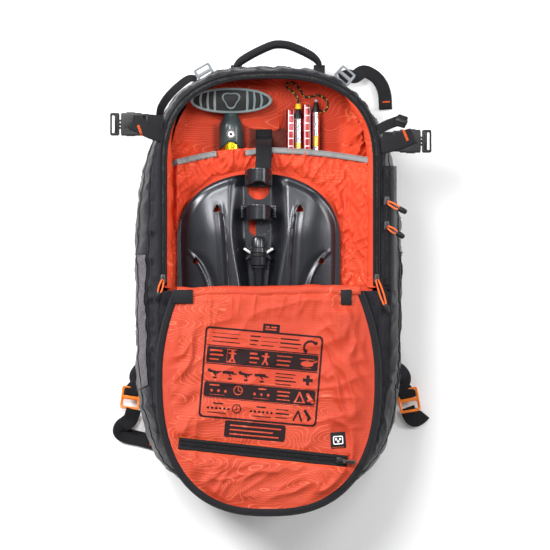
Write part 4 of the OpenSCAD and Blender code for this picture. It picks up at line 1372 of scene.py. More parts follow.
def print_mask(u, v):
    """True where the panel is printed, over u (0 to 122, rightwards) and v (0 to 118, downwards)."""
    def rect(x0, y0, x1, y1, r=0.0):
        dx = np.maximum(np.maximum(x0 + r - u, u - x1 + r), 0)
        dy = np.maximum(np.maximum(y0 + r - v, v - y1 + r), 0)
        return np.hypot(dx, dy) <= r if r else (dx == 0) & (dy == 0)

    def disc(x, y, r):
        return np.hypot(u - x, v - y) <= r

    def ring(x, y, r, w):
        return np.abs(np.hypot(u - x, v - y) - r) <= w

    def bar(x0, y0, x1, y1, w):
        dx, dy = x1 - x0, y1 - y0
        t = np.clip(((u - x0) * dx + (v - y0) * dy) / (dx * dx + dy * dy), 0, 1)
        return np.hypot(u - x0 - t * dx, v - y0 - t * dy) <= w

    def lines(x, y, widths, gap=3.6, w=0.62):
        out = np.zeros(u.shape, bool)
        for k, wide in enumerate(widths):
            out |= bar(x, y + k * gap, x + wide, y + k * gap, w)
        return out

    def person(x, y, lean=0.0):
        return (disc(x + lean, y - 4.6, 1.6) | bar(x + lean, y - 3, x, y + 1.5, 1.3)
                | bar(x, y + 1, x - 2.4, y + 5.6, 0.8) | bar(x, y + 1, x + 2.4, y + 5.6, 0.8)
                | bar(x - 3.4, y - 2.6, x + 3.4, y - 2.6, 0.7))

    dark = rect(0, 3, 118, 94, 4) & ~rect(1.9, 4.9, 116.1, 92.1, 3)
    dark |= rect(57, -4.5, 74, 4) | rect(27, 95, 88, 112, 2.5)
    dark &= ~lines(60, -1.6, (3.4,)) & ~lines(66, -1.6, (4.6,)) & ~lines(60, 1.0, (10.5,))
    dark &= ~(lines(33, 99.5, (50, 42, 48), 4.4, 0.8))
    rows = ((5, 21), (22.5, 39), (40.5, 56.5), (58, 73), (74.5, 92))
    for k in (1, 3):
        dark |= rect(3.2, rows[k][0], 115, rows[k][1], 2.5)
    for y in (21.7, 39.8, 57.2, 73.8):
        dark |= bar(3, y, 115, y, 0.35)
    # first row: lines of plain bars, leaders and a handset
    dark |= lines(8, 9, (27, 25, 27), 4.2, 0.4) | lines(46, 9, (9, 7, 6), 4.2)
    dark |= lines(57, 9, (16, 16, 12), 4.2, 0.3) | lines(76, 9, (18, 20, 17), 4.2)
    dark |= ring(106, 15.5, 6.4, 1.1) & (u - 106 + v - 15.5 < -1)
    dark |= disc(101.6, 19.3, 1.9) | disc(111, 10.6, 1.9)
    # second row: two figures, bars and an aircraft, in clear on dark
    clear = lines(7, 26.5, (11, 12, 8), 4.4, 0.9) | person(29, 30.5) | lines(47, 26.5, (6, 8, 6), 4.4, 0.9)
    clear |= person(62, 30.5, 0.8) | lines(74, 26.5, (14, 13, 12), 4.4, 0.6)
    clear |= rect(23.2, 24.2, 34.8, 37.4) & ~rect(24.0, 25.0, 34.0, 36.6) & (u < 33)
    clear |= ((u - 104) / 6.4) ** 2 + ((v - 32) / 2.9) ** 2 < 1
    clear |= bar(108, 31, 113.5, 28.6, 0.7) | bar(97, 27.4, 111, 27.4, 0.4) | bar(104, 27.6, 104, 30, 0.5)
    clear |= bar(100, 36.2, 108, 36.2, 0.4)
    # fourth row: dots, a clock and a shelter
    for k in range(3):
        clear |= disc(11 + 7 * k, 66.5, 1.35) | disc(54 + 7 * k, 66.5, 1.35)
    clear |= ring(37.5, 64.5, 4.2, 0.5) | bar(37.5, 64.5, 37.5, 61.6, 0.4)
    clear |= bar(37.5, 64.5, 39.8, 65.4, 0.4)
    clear |= lines(9, 61, (9,), 4, 0.7) | lines(58, 61, (7,), 4, 0.7) | lines(10, 70.6, (14,), 4, 0.4)
    clear |= lines(54, 70.6, (14,), 4, 0.4) | lines(77, 62, (12, 11, 12), 3.9, 0.6)
    clear |= bar(95, 70.5, 99, 61, 0.8) | bar(99, 61, 104, 70.5, 0.8) | bar(94, 70.8, 105, 70.8, 0.6)
    clear |= bar(107, 62.5, 112.5, 69.5, 1.6) | disc(108.5, 68.5, 1.6)
    dark &= ~clear
    # third row: four resting figures, bars and a cross
    for k, x in enumerate((12, 27, 43, 59)):
        dark |= disc(x - 5, 46.6 + (k % 2), 1.6) | bar(x - 3.4, 47.4, x + 3.6, 48.4 - (k % 2), 1.3)
        dark |= bar(x + 3, 48.4, x + 7, 47 + 1.5 * (k % 2), 0.7) | bar(x - 1, 48, x + 2, 51, 0.7)
        dark |= lines(x, 53.6, (2.6,), 3, 0.8)
    dark |= lines(74, 44, (19, 17, 20, 15), 3.5, 0.5)
    dark |= rect(101, 46.6, 111, 49.6) | rect(104.5, 43, 107.5, 53.2)
    # fifth row: six dots, a clock and a shelter
    for k in range(6):
        dark |= disc(9 + 4.1 * k, 84, 1.25) | disc(52 + 4.1 * k, 84, 1.25)
    dark |= ring(37.5, 83, 4.2, 0.55) | bar(37.5, 83, 37.5, 80.2, 0.45) | bar(37.5, 83, 35.3, 84.4, 0.45)
    dark |= lines(14, 79, (9,), 4, 0.8) | lines(58, 79, (8,), 4, 0.8) | lines(9, 88.4, (18,), 4, 0.4)
    dark |= lines(54, 88.4, (18,), 4, 0.4) | lines(77, 80, (12, 13, 11), 3.9, 0.5)
    dark |= bar(95, 89, 99, 79.5, 0.9) | bar(99, 79.5, 103, 89, 0.9)
    dark |= bar(106, 79, 111, 86, 1.5) | disc(109.5, 87.5, 1.5)
    return dark


def build_print(mats, tree):
    step = PRINT_STEP / PRINT_SCALE
    u, v = np.meshgrid(np.arange(-1, 121, step), np.arange(-6, 114, step))
    mask = print_mask(u[:-1, :-1] + step / 2, v[:-1, :-1] + step / 2)
    spin = math.radians(PRINT_SPIN)
    x = PRINT_X + PRINT_SCALE * (u * math.cos(spin) + v * math.sin(spin) * 0.92)
    y = PRINT_Y + PRINT_SCALE * (u * math.sin(spin) - v * math.cos(spin))
    used = np.zeros(u.shape, bool)
    for a in (0, 1):
        for b in (0, 1):
            used[a:u.shape[0] - 1 + a, b:u.shape[1] - 1 + b] |= mask
    index = -np.ones(u.shape, int)
    index[used] = np.arange(used.sum())
    verts = [(px, py, height_on(tree, px, py, PANEL_HIGH[2]) + 0.22) for px, py in zip(x[used], y[used])]
    i, j = np.nonzero(mask)
    faces = np.stack([index[i, j], index[i + 1, j], index[i + 1, j + 1], index[i, j + 1]], -1)
    adopt(make_mesh("panel_print", verts, faces.tolist(), mats["print"]), "front_panel")


# ------------------------------------------------------------------ shovel

def blade_rise(d, narrow=1.0):
    """Height of the blade at a distance from its middle: a channel, two lobes and falling edges."""
    s = np.clip((d / narrow - 16) / 24, 0, 1)
    fall = np.maximum(d - 62, 0) / 44
    return 18 * s * s * (3 - 2 * s) - 11 * fall ** 2


def near_line(x, y, path):
    """Distance in plan from each point to a smooth path."""
    best = np.full(x.shape, 1e3)
    for (x0, y0), (x1, y1) in zip(path[:-1], path[1:]):
        dx, dy = x1 - x0, y1 - y0
        t = np.clip(((x - x0) * dx + (y - y0) * dy) / (dx * dx + dy * dy), 0, 1)
        best = np.minimum(best, np.hypot(x - x0 - t * dx, y - y0 - t * dy))
    return best


def build_blade(mats):
    us = np.sin(np.linspace(-1, 1, 190) * math.pi / 2 * 0.985) / math.sin(math.pi / 2 * 0.985)
    d = us * BLADE_HALF_W
    arch = np.clip(1 - np.abs(us) ** BLADE_POWER, 0, 1) ** (1 / BLADE_POWER)
    top = BLADE_SHOULDER + BLADE_ARCH * arch
    base = BLADE_LOW[1] + 34 * np.abs(us) ** 3
    vs = np.concatenate([[0, 0.003, 0.01], np.linspace(0.02, 0.98, 190), [0.99, 0.997, 1]])
    y = base[None] + (top - base)[None] * vs[:, None]
    x = np.broadcast_to(d[None], y.shape)
    z = BLADE_LOW[2] + 2.2 + blade_rise(np.abs(x), 1 - 0.36 * smoothstep((70 - y) / 105))
    # long ribs beside the channel, and curved ones on the shoulders
    for s in (-1, 1):
        rib = curve_through([(s * 49, 101), (s * 45, 70), (s * 42, 30), (s * 40, -20), (s * 40, -120)], 6)
        ends = smoothstep((101 - y) / 26)
        z = z + 1.9 * np.exp(-(near_line(x, y, rib) / 2.0) ** 2) * ends
        z = z - 1.5 * np.exp(-(near_line(x, y, rib + [s * 6, 0]) / 4.5) ** 2) * ends
        rib = curve_through([(s * 92, 34), (s * 80, 20), (s * 68, -4), (s * 62, -40), (s * 60, -110)], 6)
        ends = smoothstep((38 - y) / 18)
        z = z + 2.6 * np.exp(-(near_line(x, y, rib) / 2.6) ** 2) * ends
        z = z - 2.0 * np.exp(-(near_line(x, y, rib + [s * -7, -4]) / 5.5) ** 2) * ends
    # the lobes round off at the shoulder, and the rim turns down a little
    rim = np.concatenate([[(-BLADE_HALF_W, base[0])], np.stack([d, top], -1), [(BLADE_HALF_W, base[-1])]])
    edge = near_line(x, y, rim[[0, 1] + list(range(2, len(rim) - 2, 4)) + [-2, -1]])
    lobe = smoothstep((np.abs(x) - 20) / 20)
    z = z - (2.5 * (1 - smoothstep(edge / 13)) + 7.5 * (1 - smoothstep(edge / 78))) * lobe
    z = z - 6.0 * np.clip((60 - y) / 200, 0, 1) ** 1.5 * lobe
    z = z + 0.9 * np.exp(-(edge / 2.2) ** 2)
    z = np.maximum(z, BLADE_LOW[2] + 2.2)
    grid = np.stack([x + BLADE_X, y, z], -1)
    pan = give_thickness(grid_mesh("shovel_blade_pan", grid, mats["blade"]), 2.0)
    cuts = []
    for s in (-1, 1):
        for cx, cy, r in ((54, 88, 7), (82, 20, 6)):
            loop = [(BLADE_X + s * cx + r * math.cos(a), cy + r * math.sin(a))
                    for a in (math.radians(90), math.radians(210), math.radians(330))]
            cuts.append(rounded_triangle(loop, 1.6))
    cuts.append([(BLADE_X + 14.5 * math.cos(a), 114 + 13.5 * math.sin(a))
                 for a in np.linspace(math.pi, 2 * math.pi, 20)]
                + [(BLADE_X + 14.5, 117), (BLADE_X - 14.5, 117)])
    for s in (-1, 1):
        arc = [(BLADE_X + s * (3.6 + 9.4 * math.sin(a)), 63 - 9.5 * math.cos(a))
               for a in np.linspace(0, math.pi / 2, 12)]
        cuts.append(arc + [(BLADE_X + s * 13, 73), (BLADE_X + s * 3.6, 73)])
    for k, loop in enumerate(cuts):
        cutter = plate(f"cutter_{k}", [loop], 150, 215, mats["blade"], 0.05)
        made = pan.modifiers.new("cut", "BOOLEAN")
        made.operation = "DIFFERENCE"
        made.object = cutter
        made.solver = "FAST"
    applied(pan)
    for cutter in [o for o in bpy.data.objects if o.name.startswith("cutter_")]:
        bpy.data.objects.remove(cutter)
    adopt(soften(pan, 50), "shovel_blade", "shovel_blade", "blade_coat")
    build_hoops(mats)


def rounded_triangle(corners, r):
    """A triangle whose corners are rounded off."""
    loop = []
    c = np.array(corners)
    for k in range(3):
        a, b, d = c[k - 1], c[k], c[(k + 1) % 3]
        p, q = b + unit(a - b) * r * 1.7, b + unit(d - b) * r * 1.7
        for t in np.linspace(0, 1, 5):
            loop.append(tuple((1 - t) ** 2 * p + 2 * t * (1 - t) * b + t * t * q))
    return loop


def build_hoops(mats):
    high = node_box("blade_hoops")[1]
    centre_z = high[2] - 16.1
    radius = 15.4
    parts = []
    for k, (y0, y1, notch) in enumerate(((118, 141.5, 6.0), (73, 94, 1.5))):
        angle = np.linspace(math.radians(222), math.radians(-42), 60)
        plan = [(BLADE_X - 17.6, BLADE_LOW[2] + 3.4), (BLADE_X - 16.2, BLADE_LOW[2] + 3.6)]
        plan += [(BLADE_X + radius * math.cos(a), centre_z + radius * math.sin(a)) for a in angle]
        plan += [(2 * BLADE_X - x, z) for x, z in plan[1::-1]]
        plan = np.array(plan)
        across = 1 - np.clip(np.abs(plan[:, 0] - BLADE_X) / radius, 0, 1) ** 2
        up = np.clip((plan[:, 1] - centre_z) / radius, 0, 1)
        rows = []
        for v in np.linspace(0, 1, 15):
            y = (y0 + notch * across * up) * (1 - v) + (y1 - 3.0 * (1 - up)) * v
            rows.append(np.stack([plan[:, 0], y, plan[:, 1]], -1))
        band = give_thickness(grid_mesh(f"blade_hoop_{k}", np.array(rows), mats["blade"]), 1.8, 0)
        edge = band.modifiers.new("edge", "BEVEL")
        edge.width, edge.segments = 0.45 * MM, 2
        parts.append(applied(band))
    for s in (-1, 1):
        place = placed((BLADE_X + s * 20.2, 84.5, BLADE_LOW[2] + 4.6), 0, 0, s * -16)
        parts.append(block("hoop_ear", (-3.4, -8.5, 0.2), (3.4, 8.5, 2.0), mats["blade"], 0.8, place))
        for m in range(5):
            parts.append(block("hoop_rib", (-3.0, -7 + 3 * m, 1.8), (3.0, -5.6 + 3 * m, 2.7),
                               mats["blade"], 0.4, place))
    adopt(join("blade_hoop_bands", parts), "shovel_blade", "blade_hoops", "blade_coat")
    # the closed end of the socket, with its collar
    z = BLADE_LOW[2] + 9.6
    profile = [(52.5, 0.1), (52.3, 5.6), (51.0, 8.0), (48, 9.3), (38, 9.6), (37, 11.2), (31.5, 11.4),
               (31, 9.2), (27, 9.0), (26, 11.6), (15, 11.2), (14, 8.4), (6, 6.6), (-30, 5.6), (-80, 5.0),
               (-138, 4.6), (-139, 0.1)]
    tube = turned("socket_tube", profile, mats["blade"], placed((BLADE_X, 0, z)), 40)
    points = points_of(tube)
    points[:, 2] = np.maximum(points[:, 2], BLADE_LOW[2] + 2.0)
    move_points(tube, points)
    ears = [tube]
    for s in (-1, 1):
        ears.append(block("collar_ear", (-5.5, -1.8, -2), (5.5, 1.8, 2), mats["steel"], 0.9,
                          placed((BLADE_X + s * 14.5, 33.5, z + 1), s * 34)))
        ears.append(block("collar_prong", (-4.5, -1.5, -2), (4.5, 1.5, 2), mats["rubber"], 0.8,
                          placed((BLADE_X + s * 13.0, 25, z + 2), s * -40)))
    ears.append(turned("collar_ring", [(26.5, 9.0), (27, 10.6), (30.5, 10.6), (31, 9.0)], mats["rubber"],
                       placed((BLADE_X, 0, z)), 40))
    ears.append(turned("collar_lip", [(10.5, 7.4), (11, 9.6), (13.6, 9.9), (14, 8.4)], mats["rubber"],
                       placed((BLADE_X, 0, z)), 40))
    adopt(join("blade_socket_end", ears), "shovel_blade")


GRIP_HALF_W, GRIP_HALF_H, GRIP_POWER = 54, 17, 0.92
BUTTON_Y = 186


def lens(grow=0.0, n=96):
    """The lens-shaped outline of the grip, drawn in by grow."""
    a = np.linspace(0, 2 * math.pi, n, endpoint=False)
    return np.stack([(GRIP_HALF_W - grow) * spow(np.cos(a), GRIP_POWER),
                     (GRIP_HALF_H - grow) * np.sin(a)], -1)


def lens_half(x, grow):
    """Half the height of the grip's outline at x."""
    c = np.clip(np.abs(x) / (GRIP_HALF_W - grow), 0, 1) ** (1 / GRIP_POWER)
    return (GRIP_HALF_H - grow) * math.sqrt(max(0.0, 1 - c * c))


def build_grip(mats):
    place = placed((SHAFT_X, GRIP_HIGH[1] - GRIP_HALF_H, SHAFT_Z))
    rings = []
    for z, grow in ((-12.5, 5), (-11.6, 2.4), (-9.5, 0.8), (-5, 0), (3, 0), (8, 0.1), (10.2, 0.5),
                    (11.2, 1.2)):
        ring = lens(grow)
        rings.append(np.c_[ring, np.full(len(ring), z)])
    grid = np.array(rings)
    verts = place(grid.reshape(-1, 3))
    n = grid.shape[1]
    faces = grid_faces(len(rings), n, wrap=True).tolist()
    faces += [list(range(n))[::-1], [(len(rings) - 1) * n + k for k in range(n)]]
    body = soften(make_mesh("grip_body", verts, faces, mats["grip"]), 50)
    floor = plate("grip_insert", [lens(3.0).tolist()], 10.4, 11.4, mats["rubber"], 0.2, place)
    holes = []
    for s in (-1, 1):
        for x0, x1, lean in ((23.2, 29.2, 1.4), (32.4, 38.6, 2.2), (42, 49.6, 3.2)):
            loop = []
            for t in np.linspace(-1, 1, 9):
                x = x1 - lean * t * t * 0.6
                loop.append((s * x, t * max(lens_half(x, 3.6), 0.5)))
            for t in np.linspace(1, -1, 9):
                x = x0 - lean * t * t * 0.6
                loop.append((s * x, t * max(lens_half(x, 3.6), 0.5)))
            holes.append(loop)
    middle = [(x, lens_half(x, 3.4)) for x in np.linspace(-19.6, 19.6, 21)]
    middle += [(x, -lens_half(x, 3.4)) for x in np.linspace(19.6, -19.6, 21)]
    holes.append(middle)
    rim = plate("grip_rim", [lens(0.2).tolist()] + holes, 10.6, 13.1, mats["grip_rim"], 0.7, place)
    shield = []
    for a in np.linspace(0, 2 * math.pi, 60, endpoint=False):
        r = 10.6 + 1.9 * math.cos(3 * (a + math.pi / 2))
        shield.append((1.06 * r * math.cos(a), r * math.sin(a) + 1.0))
    inner = [(x * 0.80, (y - 1.0) * 0.80 + 1.0) for x, y in shield]
    badge = plate("grip_badge", [shield, inner], 10.9, 12.8, mats["grip_rim"], 0.6, place)
    neck = build_neck(mats)
    adopt(join("shovel_grip_body", [body, floor, rim, badge] + neck), "shovel_handle", "shovel_grip",
          "grip_plastic")


def build_neck(mats):
    profile = [(218, 9.6), (214, 10.0), (210, 10.8), (206, 12.4), (202, 14.2), (197, 15.6), (190, 16),
               (180, 16), (172, 16), (167, 15.9), (166.2, 15.0), (166.2, 14.2)]
    angle = np.linspace(0, 2 * math.pi, 48, endpoint=False)
    rings = []
    for y, r in profile:
        up = np.maximum(0, np.sin(angle)) ** 3
        low = smoothstep((184 - y) / 18)
        rings.append(np.stack([r * np.cos(angle), y + 9.5 * up * low, r * np.sin(angle)], -1))
    grid = np.array(rings)
    verts = placed((SHAFT_X, 0, SHAFT_Z))(grid.reshape(-1, 3))
    neck = make_mesh("grip_neck", verts, grid_faces(len(profile), 48, wrap=True).tolist(), mats["grip"])
    # a pinched waist under the bar
    points = points_of(neck)
    waist = np.exp(-((points[:, 1] - 208) / 6) ** 2)
    points[:, 0] = SHAFT_X + (points[:, 0] - SHAFT_X) * (1 - 0.10 * waist)
    move_points(neck, points)
    flare = turned("grip_flare", [(213, 9.4), (216, 10.6), (219, 13), (221, 15)], mats["grip"],
                   placed((SHAFT_X, 0, SHAFT_Z)))
    points = points_of(flare)
    points[:, 2] = SHAFT_Z + (points[:, 2] - SHAFT_Z) * 0.72
    move_points(flare, points)
    seat = turned("button_seat", [(0, 5.9), (1.5, 5.9), (2.0, 5.3), (1.2, 4.4), (0, 4.3)], mats["steel"],
                  placed((SHAFT_X, BUTTON_Y, SHAFT_Z + 14.9), 0, 90))
    return [neck, flare, seat]


def build_shaft(mats):
    for item in frame["nodes"]["shovel_shaft"].material_slots:
        item.material = mats["yellow"]
    # the arched end of the tube shows through the mouth of the grip
    arch = [(y, 14.02) for y in np.linspace(150, 176.4, 22)]
    sleeve = turned("shaft_end_sleeve", arch, mats["yellow"], placed((SHAFT_X, 0, SHAFT_Z)), 48)
    adopt(sleeve, "shovel_handle", (), "shaft_anodised")
    z = SHAFT_Z + 16.2
    face = turned("button_face", [(0, 0.1), (0, 4.0), (-0.6, 4.1), (-4, 4.1)], mats["steel"],
                  placed((SHAFT_X, BUTTON_Y, z), 0, 90))
    hole = turned("button_hole", [(0.25, 0.1), (0.25, 1.9), (-0.2, 2.0), (-1, 2.0)], mats["rubber"],
                  placed((SHAFT_X, BUTTON_Y, z), 0, 90))
    adopt(join("shaft_button_face", [face, hole]), "shaft_button", "shaft_button", "button_steel")


# ------------------------------------------------------------------ probe and its cord

CORD_ROUTE = [
    (36.9, 226, 151), (36.5, 231, 150.6), (33, 238, 148.5), (27, 244, 144), (22, 248, 139),
    (22.5, 253, 135), (30, 254, 133), (37, 248, 132), (42, 240, 131.3), (48, 235, 131.3),
    (55, 236, 131.3), (63, 237.5, 131.3), (70, 235, 131.3), (75, 229, 131.3), (75.5, 222, 131.3),
    (71.5, 217, 131.5), (67, 216.5, 132)
]


def cord_material():
    """Braided black cord with yellow flecks, in the cord's own length and girth."""
    material, shader, tree = new_material("speckled_cord", (0.012, 0.012, 0.012), 0.65)
    _, axes = coordinates(tree, "UV")
    twist = maths(tree, "ADD", axes[0], maths(tree, "MULTIPLY", axes[1], 0.9))
    back = maths(tree, "SUBTRACT", axes[0], maths(tree, "MULTIPLY", axes[1], 0.9))
    weave = maths(tree, "MAXIMUM", ripple(tree, twist, 0.0021), ripple(tree, back, 0.0021))
    fleck = maths(tree, "MULTIPLY", line_mask(tree, twist, 0.0085, 0.34),
                  line_mask(tree, back, 0.0060, 0.5))
    tree.links.new(blend_colours(tree, fleck, (0.014, 0.014, 0.014), (0.62, 0.48, 0.03)),
                   shader.inputs["Base Color"])
    add_bump(tree, shader, weave, 0.0002)
    return material


def tube_material(name, colour):
    """Anodised tube with white ruler marks along one side."""
    material, shader, tree = new_material(name, colour, 0.3, 0.75)
    _, axes = coordinates(tree, "UV")
    angle = maths(tree, "FRACT", axes[1])
    side = maths(tree, "MULTIPLY", maths(tree, "GREATER_THAN", angle, 0.13),
                 maths(tree, "LESS_THAN", angle, 0.31))
    short = maths(tree, "MULTIPLY", line_mask(tree, axes[0], 0.010, 0.11), side)
    line = maths(tree, "MULTIPLY", maths(tree, "GREATER_THAN", angle, 0.31),
                 maths(tree, "LESS_THAN", angle, 0.335))
    wide = maths(tree, "MULTIPLY", maths(tree, "GREATER_THAN", angle, 0.10),
                 maths(tree, "LESS_THAN", angle, 0.125))
    marks = maths(tree, "MAXIMUM", maths(tree, "MAXIMUM", short, wide), line)
    tree.links.new(blend_colours(tree, marks, colour, (0.85, 0.85, 0.85)), shader.inputs["Base Color"])
    tree.links.new(maths(tree, "MULTIPLY", maths(tree, "SUBTRACT", 1.0, marks), 0.75),
                   shader.inputs["Metallic"])
    shader.inputs["Coat Weight"].default_value = 0.4
    vector, _ = coordinates(tree)
    vary_roughness(tree, shader, vector, 0.2, 0.4, 60)
    return material


def build_probe(mats):
    front_z, back_z = 151.0, 138.0
    radius, slim = 5.5, 4.5
    ruler = tube_material("probe_ruler", (0.26, 0.010, 0.014))
    tubes = []
    for x, top in ((26.6, 218), (48, 225)):
        profile = [(top - 400, 0.1), (top - 400, radius)]
        profile += [(y, radius) for y in np.linspace(top - 399, top - 1, 12)]
        profile += [(top - 0.4, 5.3), (top, 4.6), (top, 3.4), (top - 3, 3.3), (top - 3, 0.1)]
        tubes.append(turned("probe_tube", profile, ruler, placed((x, 0, front_z)), 28))
    for x in (32, 44, 56):
        profile = [(-186, 0.1), (-186, radius), (213.4, radius), (214, 4.6), (214, 3.2), (211, 3.1),
                   (211, 0.1)]
        tubes.append(turned("probe_tube", profile, mats["red_tube"], placed((x, 0, back_z)), 24))
    adopt(join("probe_red_tubes", tubes), "probe", "probe_tubes", "probe_red")
    tips = []
    for x, top in ((36.9, 207), (60.2, 216)):
        tips.append(turned("probe_tip", [(top - 390, 0.1), (top - 390, slim), (top, slim), (top, 0.1)],
                           mats["silver"], placed((x, 0, front_z)), 28))
        tips.append(turned("probe_band", [(top - 46, 4.5), (top - 46, 4.62), (top - 32, 4.62),
                                          (top - 32, 4.5)], mats["gold"], placed((x, 0, front_z)), 28))
        tips.append(turned("probe_cone", [(top - 1, 4.5), (top - 1, 4.9), (top + 2, 4.9), (top + 4, 4.4),
                                          (top + 11, 2.9), (top + 12, 2.4), (top + 12, 0.1)],
                           mats["rubber"], placed((x, 0, front_z)), 28))
    tips.append(turned("probe_cap", [(219, 0.1), (219, 3.4), (219.6, 4.0), (222.4, 4.0), (223, 3.2),
                                     (224, 3.6), (225.4, 3.6), (226, 2.8), (226, 0.1)],
                       mats["yellow_plastic"], placed((36.9, 0, front_z)), 24))
    tips.append(turned("probe_point", [(228, 0.1), (228, 2.6), (229, 3.0), (231, 3.0), (232, 2.2),
                                       (232, 0.1)], mats["steel"], placed((60.2, 0, front_z)), 24))
    adopt(join("probe_silver_tips", tips), "probe", "probe_tips", "probe_silver")
    path = curve_through(CORD_ROUTE, 6)
    material = cord_material()
    line = sweep("probe_tension_cord", path, round_section(1.5, 14), material, up=(0.12, 0.07, 1))
    adopt(line, "probe", "probe_cord", "cord_speckled")
    low, high = node_box("cord_knot")
    centre = (low + high) / 2
    turns = []
    for a in np.linspace(0, 2 * math.pi, 60, endpoint=False):
        turns.append(centre + np.array([2.1 * math.cos(2 * a) * 0.9, 1.5 * math.sin(3 * a),
                                        1.3 * math.sin(2 * a) + 0.3]))
    knot = sweep("probe_cord_knot", np.array(turns), round_section(1.15, 10), material,
                 up=(0.13, 0.31, 0.9), closed=True)
    adopt(knot, "probe", "cord_knot", "cord_speckled")


# ------------------------------------------------------------------ buckles, locks and sliders

def ladder_lock(node, material, place, w, l, slot):
    """A moulded ladder lock: a curved frame with two slots and a ridged lifting tab."""
    half, top = w / 2, l / 2
    loops = [rounded_rect(-half, -top, half, top, 3.2),
             rounded_rect(-half + 3.6, -top + 3.4, half - 3.6, -2.4, 1.2),
             rounded_rect(-half + 3.6, 2.5, half - 3.6, top - 2.8, 1.2)]

    def bent(points):
        points = points.copy()
        points[:, 2] += 1.8 * (np.abs(points[:, 1]) / top) ** 2
        return place(points)

    parts = [plate("frame", loops, 0.3, 4.0, material, 1.1, bent)]
    parts.append(block("bar", (-half + 1, -1.9, 0.4), (half - 1, 1.9, 4.6), material, 1.4, place))
    parts.append(block("lip", (-half + 1.2, -top - 0.4, 2.2), (half - 1.2, -top + 2.2, 5.2), material, 1.1,
                       place))
    for k in range(5):
        x = -half + 4.5 + k * (w - 9) / 4
        parts.append(block("ridge", (x - 0.7, -top + 0.2, 4.4), (x + 0.7, -top + 2.2, 5.7), material, 0.4,
                           place))
    adopt(join(f"{node}_body", parts), node, node, slot)


def buckle_pair(side, origin, mats):
    """A side-release buckle: a hollow socket with side windows, and a plug with two sprung arms."""
    place = placed(origin, 0 if side < 0 else 180)
    black = mats["black_plastic"]
    outline = [(0, -12.5), (2, -15), (24, -15), (28, -13.6), (36, -13.6), (36, 13.6), (28, 13.6), (24, 15),
               (2, 15), (0, 12.5)]
    loops = [outline, rounded_rect(29, -10.5, 32.5, 10.5, 1)]
    parts = [plate("socket_top", loops, 7, 9.2, black, 0.7, place),
             plate("socket_base", loops, 0.2, 2.2, black, 0.7, place)]
    for y0, y1 in ((-15, -12.4), (12.4, 15)):
        parts.append(block("socket_side", (0.5, y0, 1), (7.5, y1, 8.2), black, 0.8, place))
        parts.append(block("socket_side", (19, y0, 1), (27, y1, 8.2), black, 0.8, place))
    parts.append(block("socket_bar", (33, -13.4, 1.2), (36.4, 13.4, 8), black, 1.4, place))
    for k in range(4):
        parts.append(block("socket_rib", (5 + 4 * k, -5, 8.8), (6.6 + 4 * k, 5, 9.7), black, 0.4, place))
    socket = join(f"buckle_socket_{side_name(side)}", parts)
    adopt(socket, "root", "upper_buckle_sockets" if side < 0 else (), "buckle_black")
    parts = []
    for s in (-1, 1):
        arm = [(-3, s * 5.4), (8, s * 8.6), (17, s * 12.4), (20, s * 12.2), (21, s * 9.6), (16, s * 8.8),
               (10, s * 5.2), (-3, s * 2.6)]
        parts.append(plate("plug_arm", [arm if s > 0 else arm[::-1]], 2.8, 6.2, black, 0.7, place))
        grip = rounded_rect(6.5, min(s * 11.8, s * 15.6), 19.5, max(s * 11.8, s * 15.6), 1.6)
        parts.append(plate("plug_grip", [grip], 2.6, 6.6, black, 0.9, place))
        for k in range(4):
            x = 8.5 + 2.9 * k
            parts.append(block("plug_ridge", (x - 0.6, s * 15.6 - 0.7, 2.8), (x + 0.6, s * 15.6 + 0.7, 6.4),
                               black, 0.3, place))
    parts.append(plate("plug_tongue", [rounded_rect(-3, -1.8, 15, 1.8, 1.2)], 2.8, 6.2, black, 0.7, place))
    loops = [rounded_rect(-14, -15, -1.6, 15, 2.6), rounded_rect(-11.4, -11.4, -8.2, 11.4, 1.2)]
    parts.append(plate("plug_head", loops, 0.6, 8.4, black, 1.4, place))
    parts.append(block("plug_bar", (-7.6, -11.6, 6.2), (-4.6, 11.6, 10.4), black, 1.3, place))
    adopt(join(f"buckle_plug_{side_name(side)}", parts), f"upper_plug_{side_name(side)}",
          f"upper_plug_{side_name(side)}", "buckle_black")


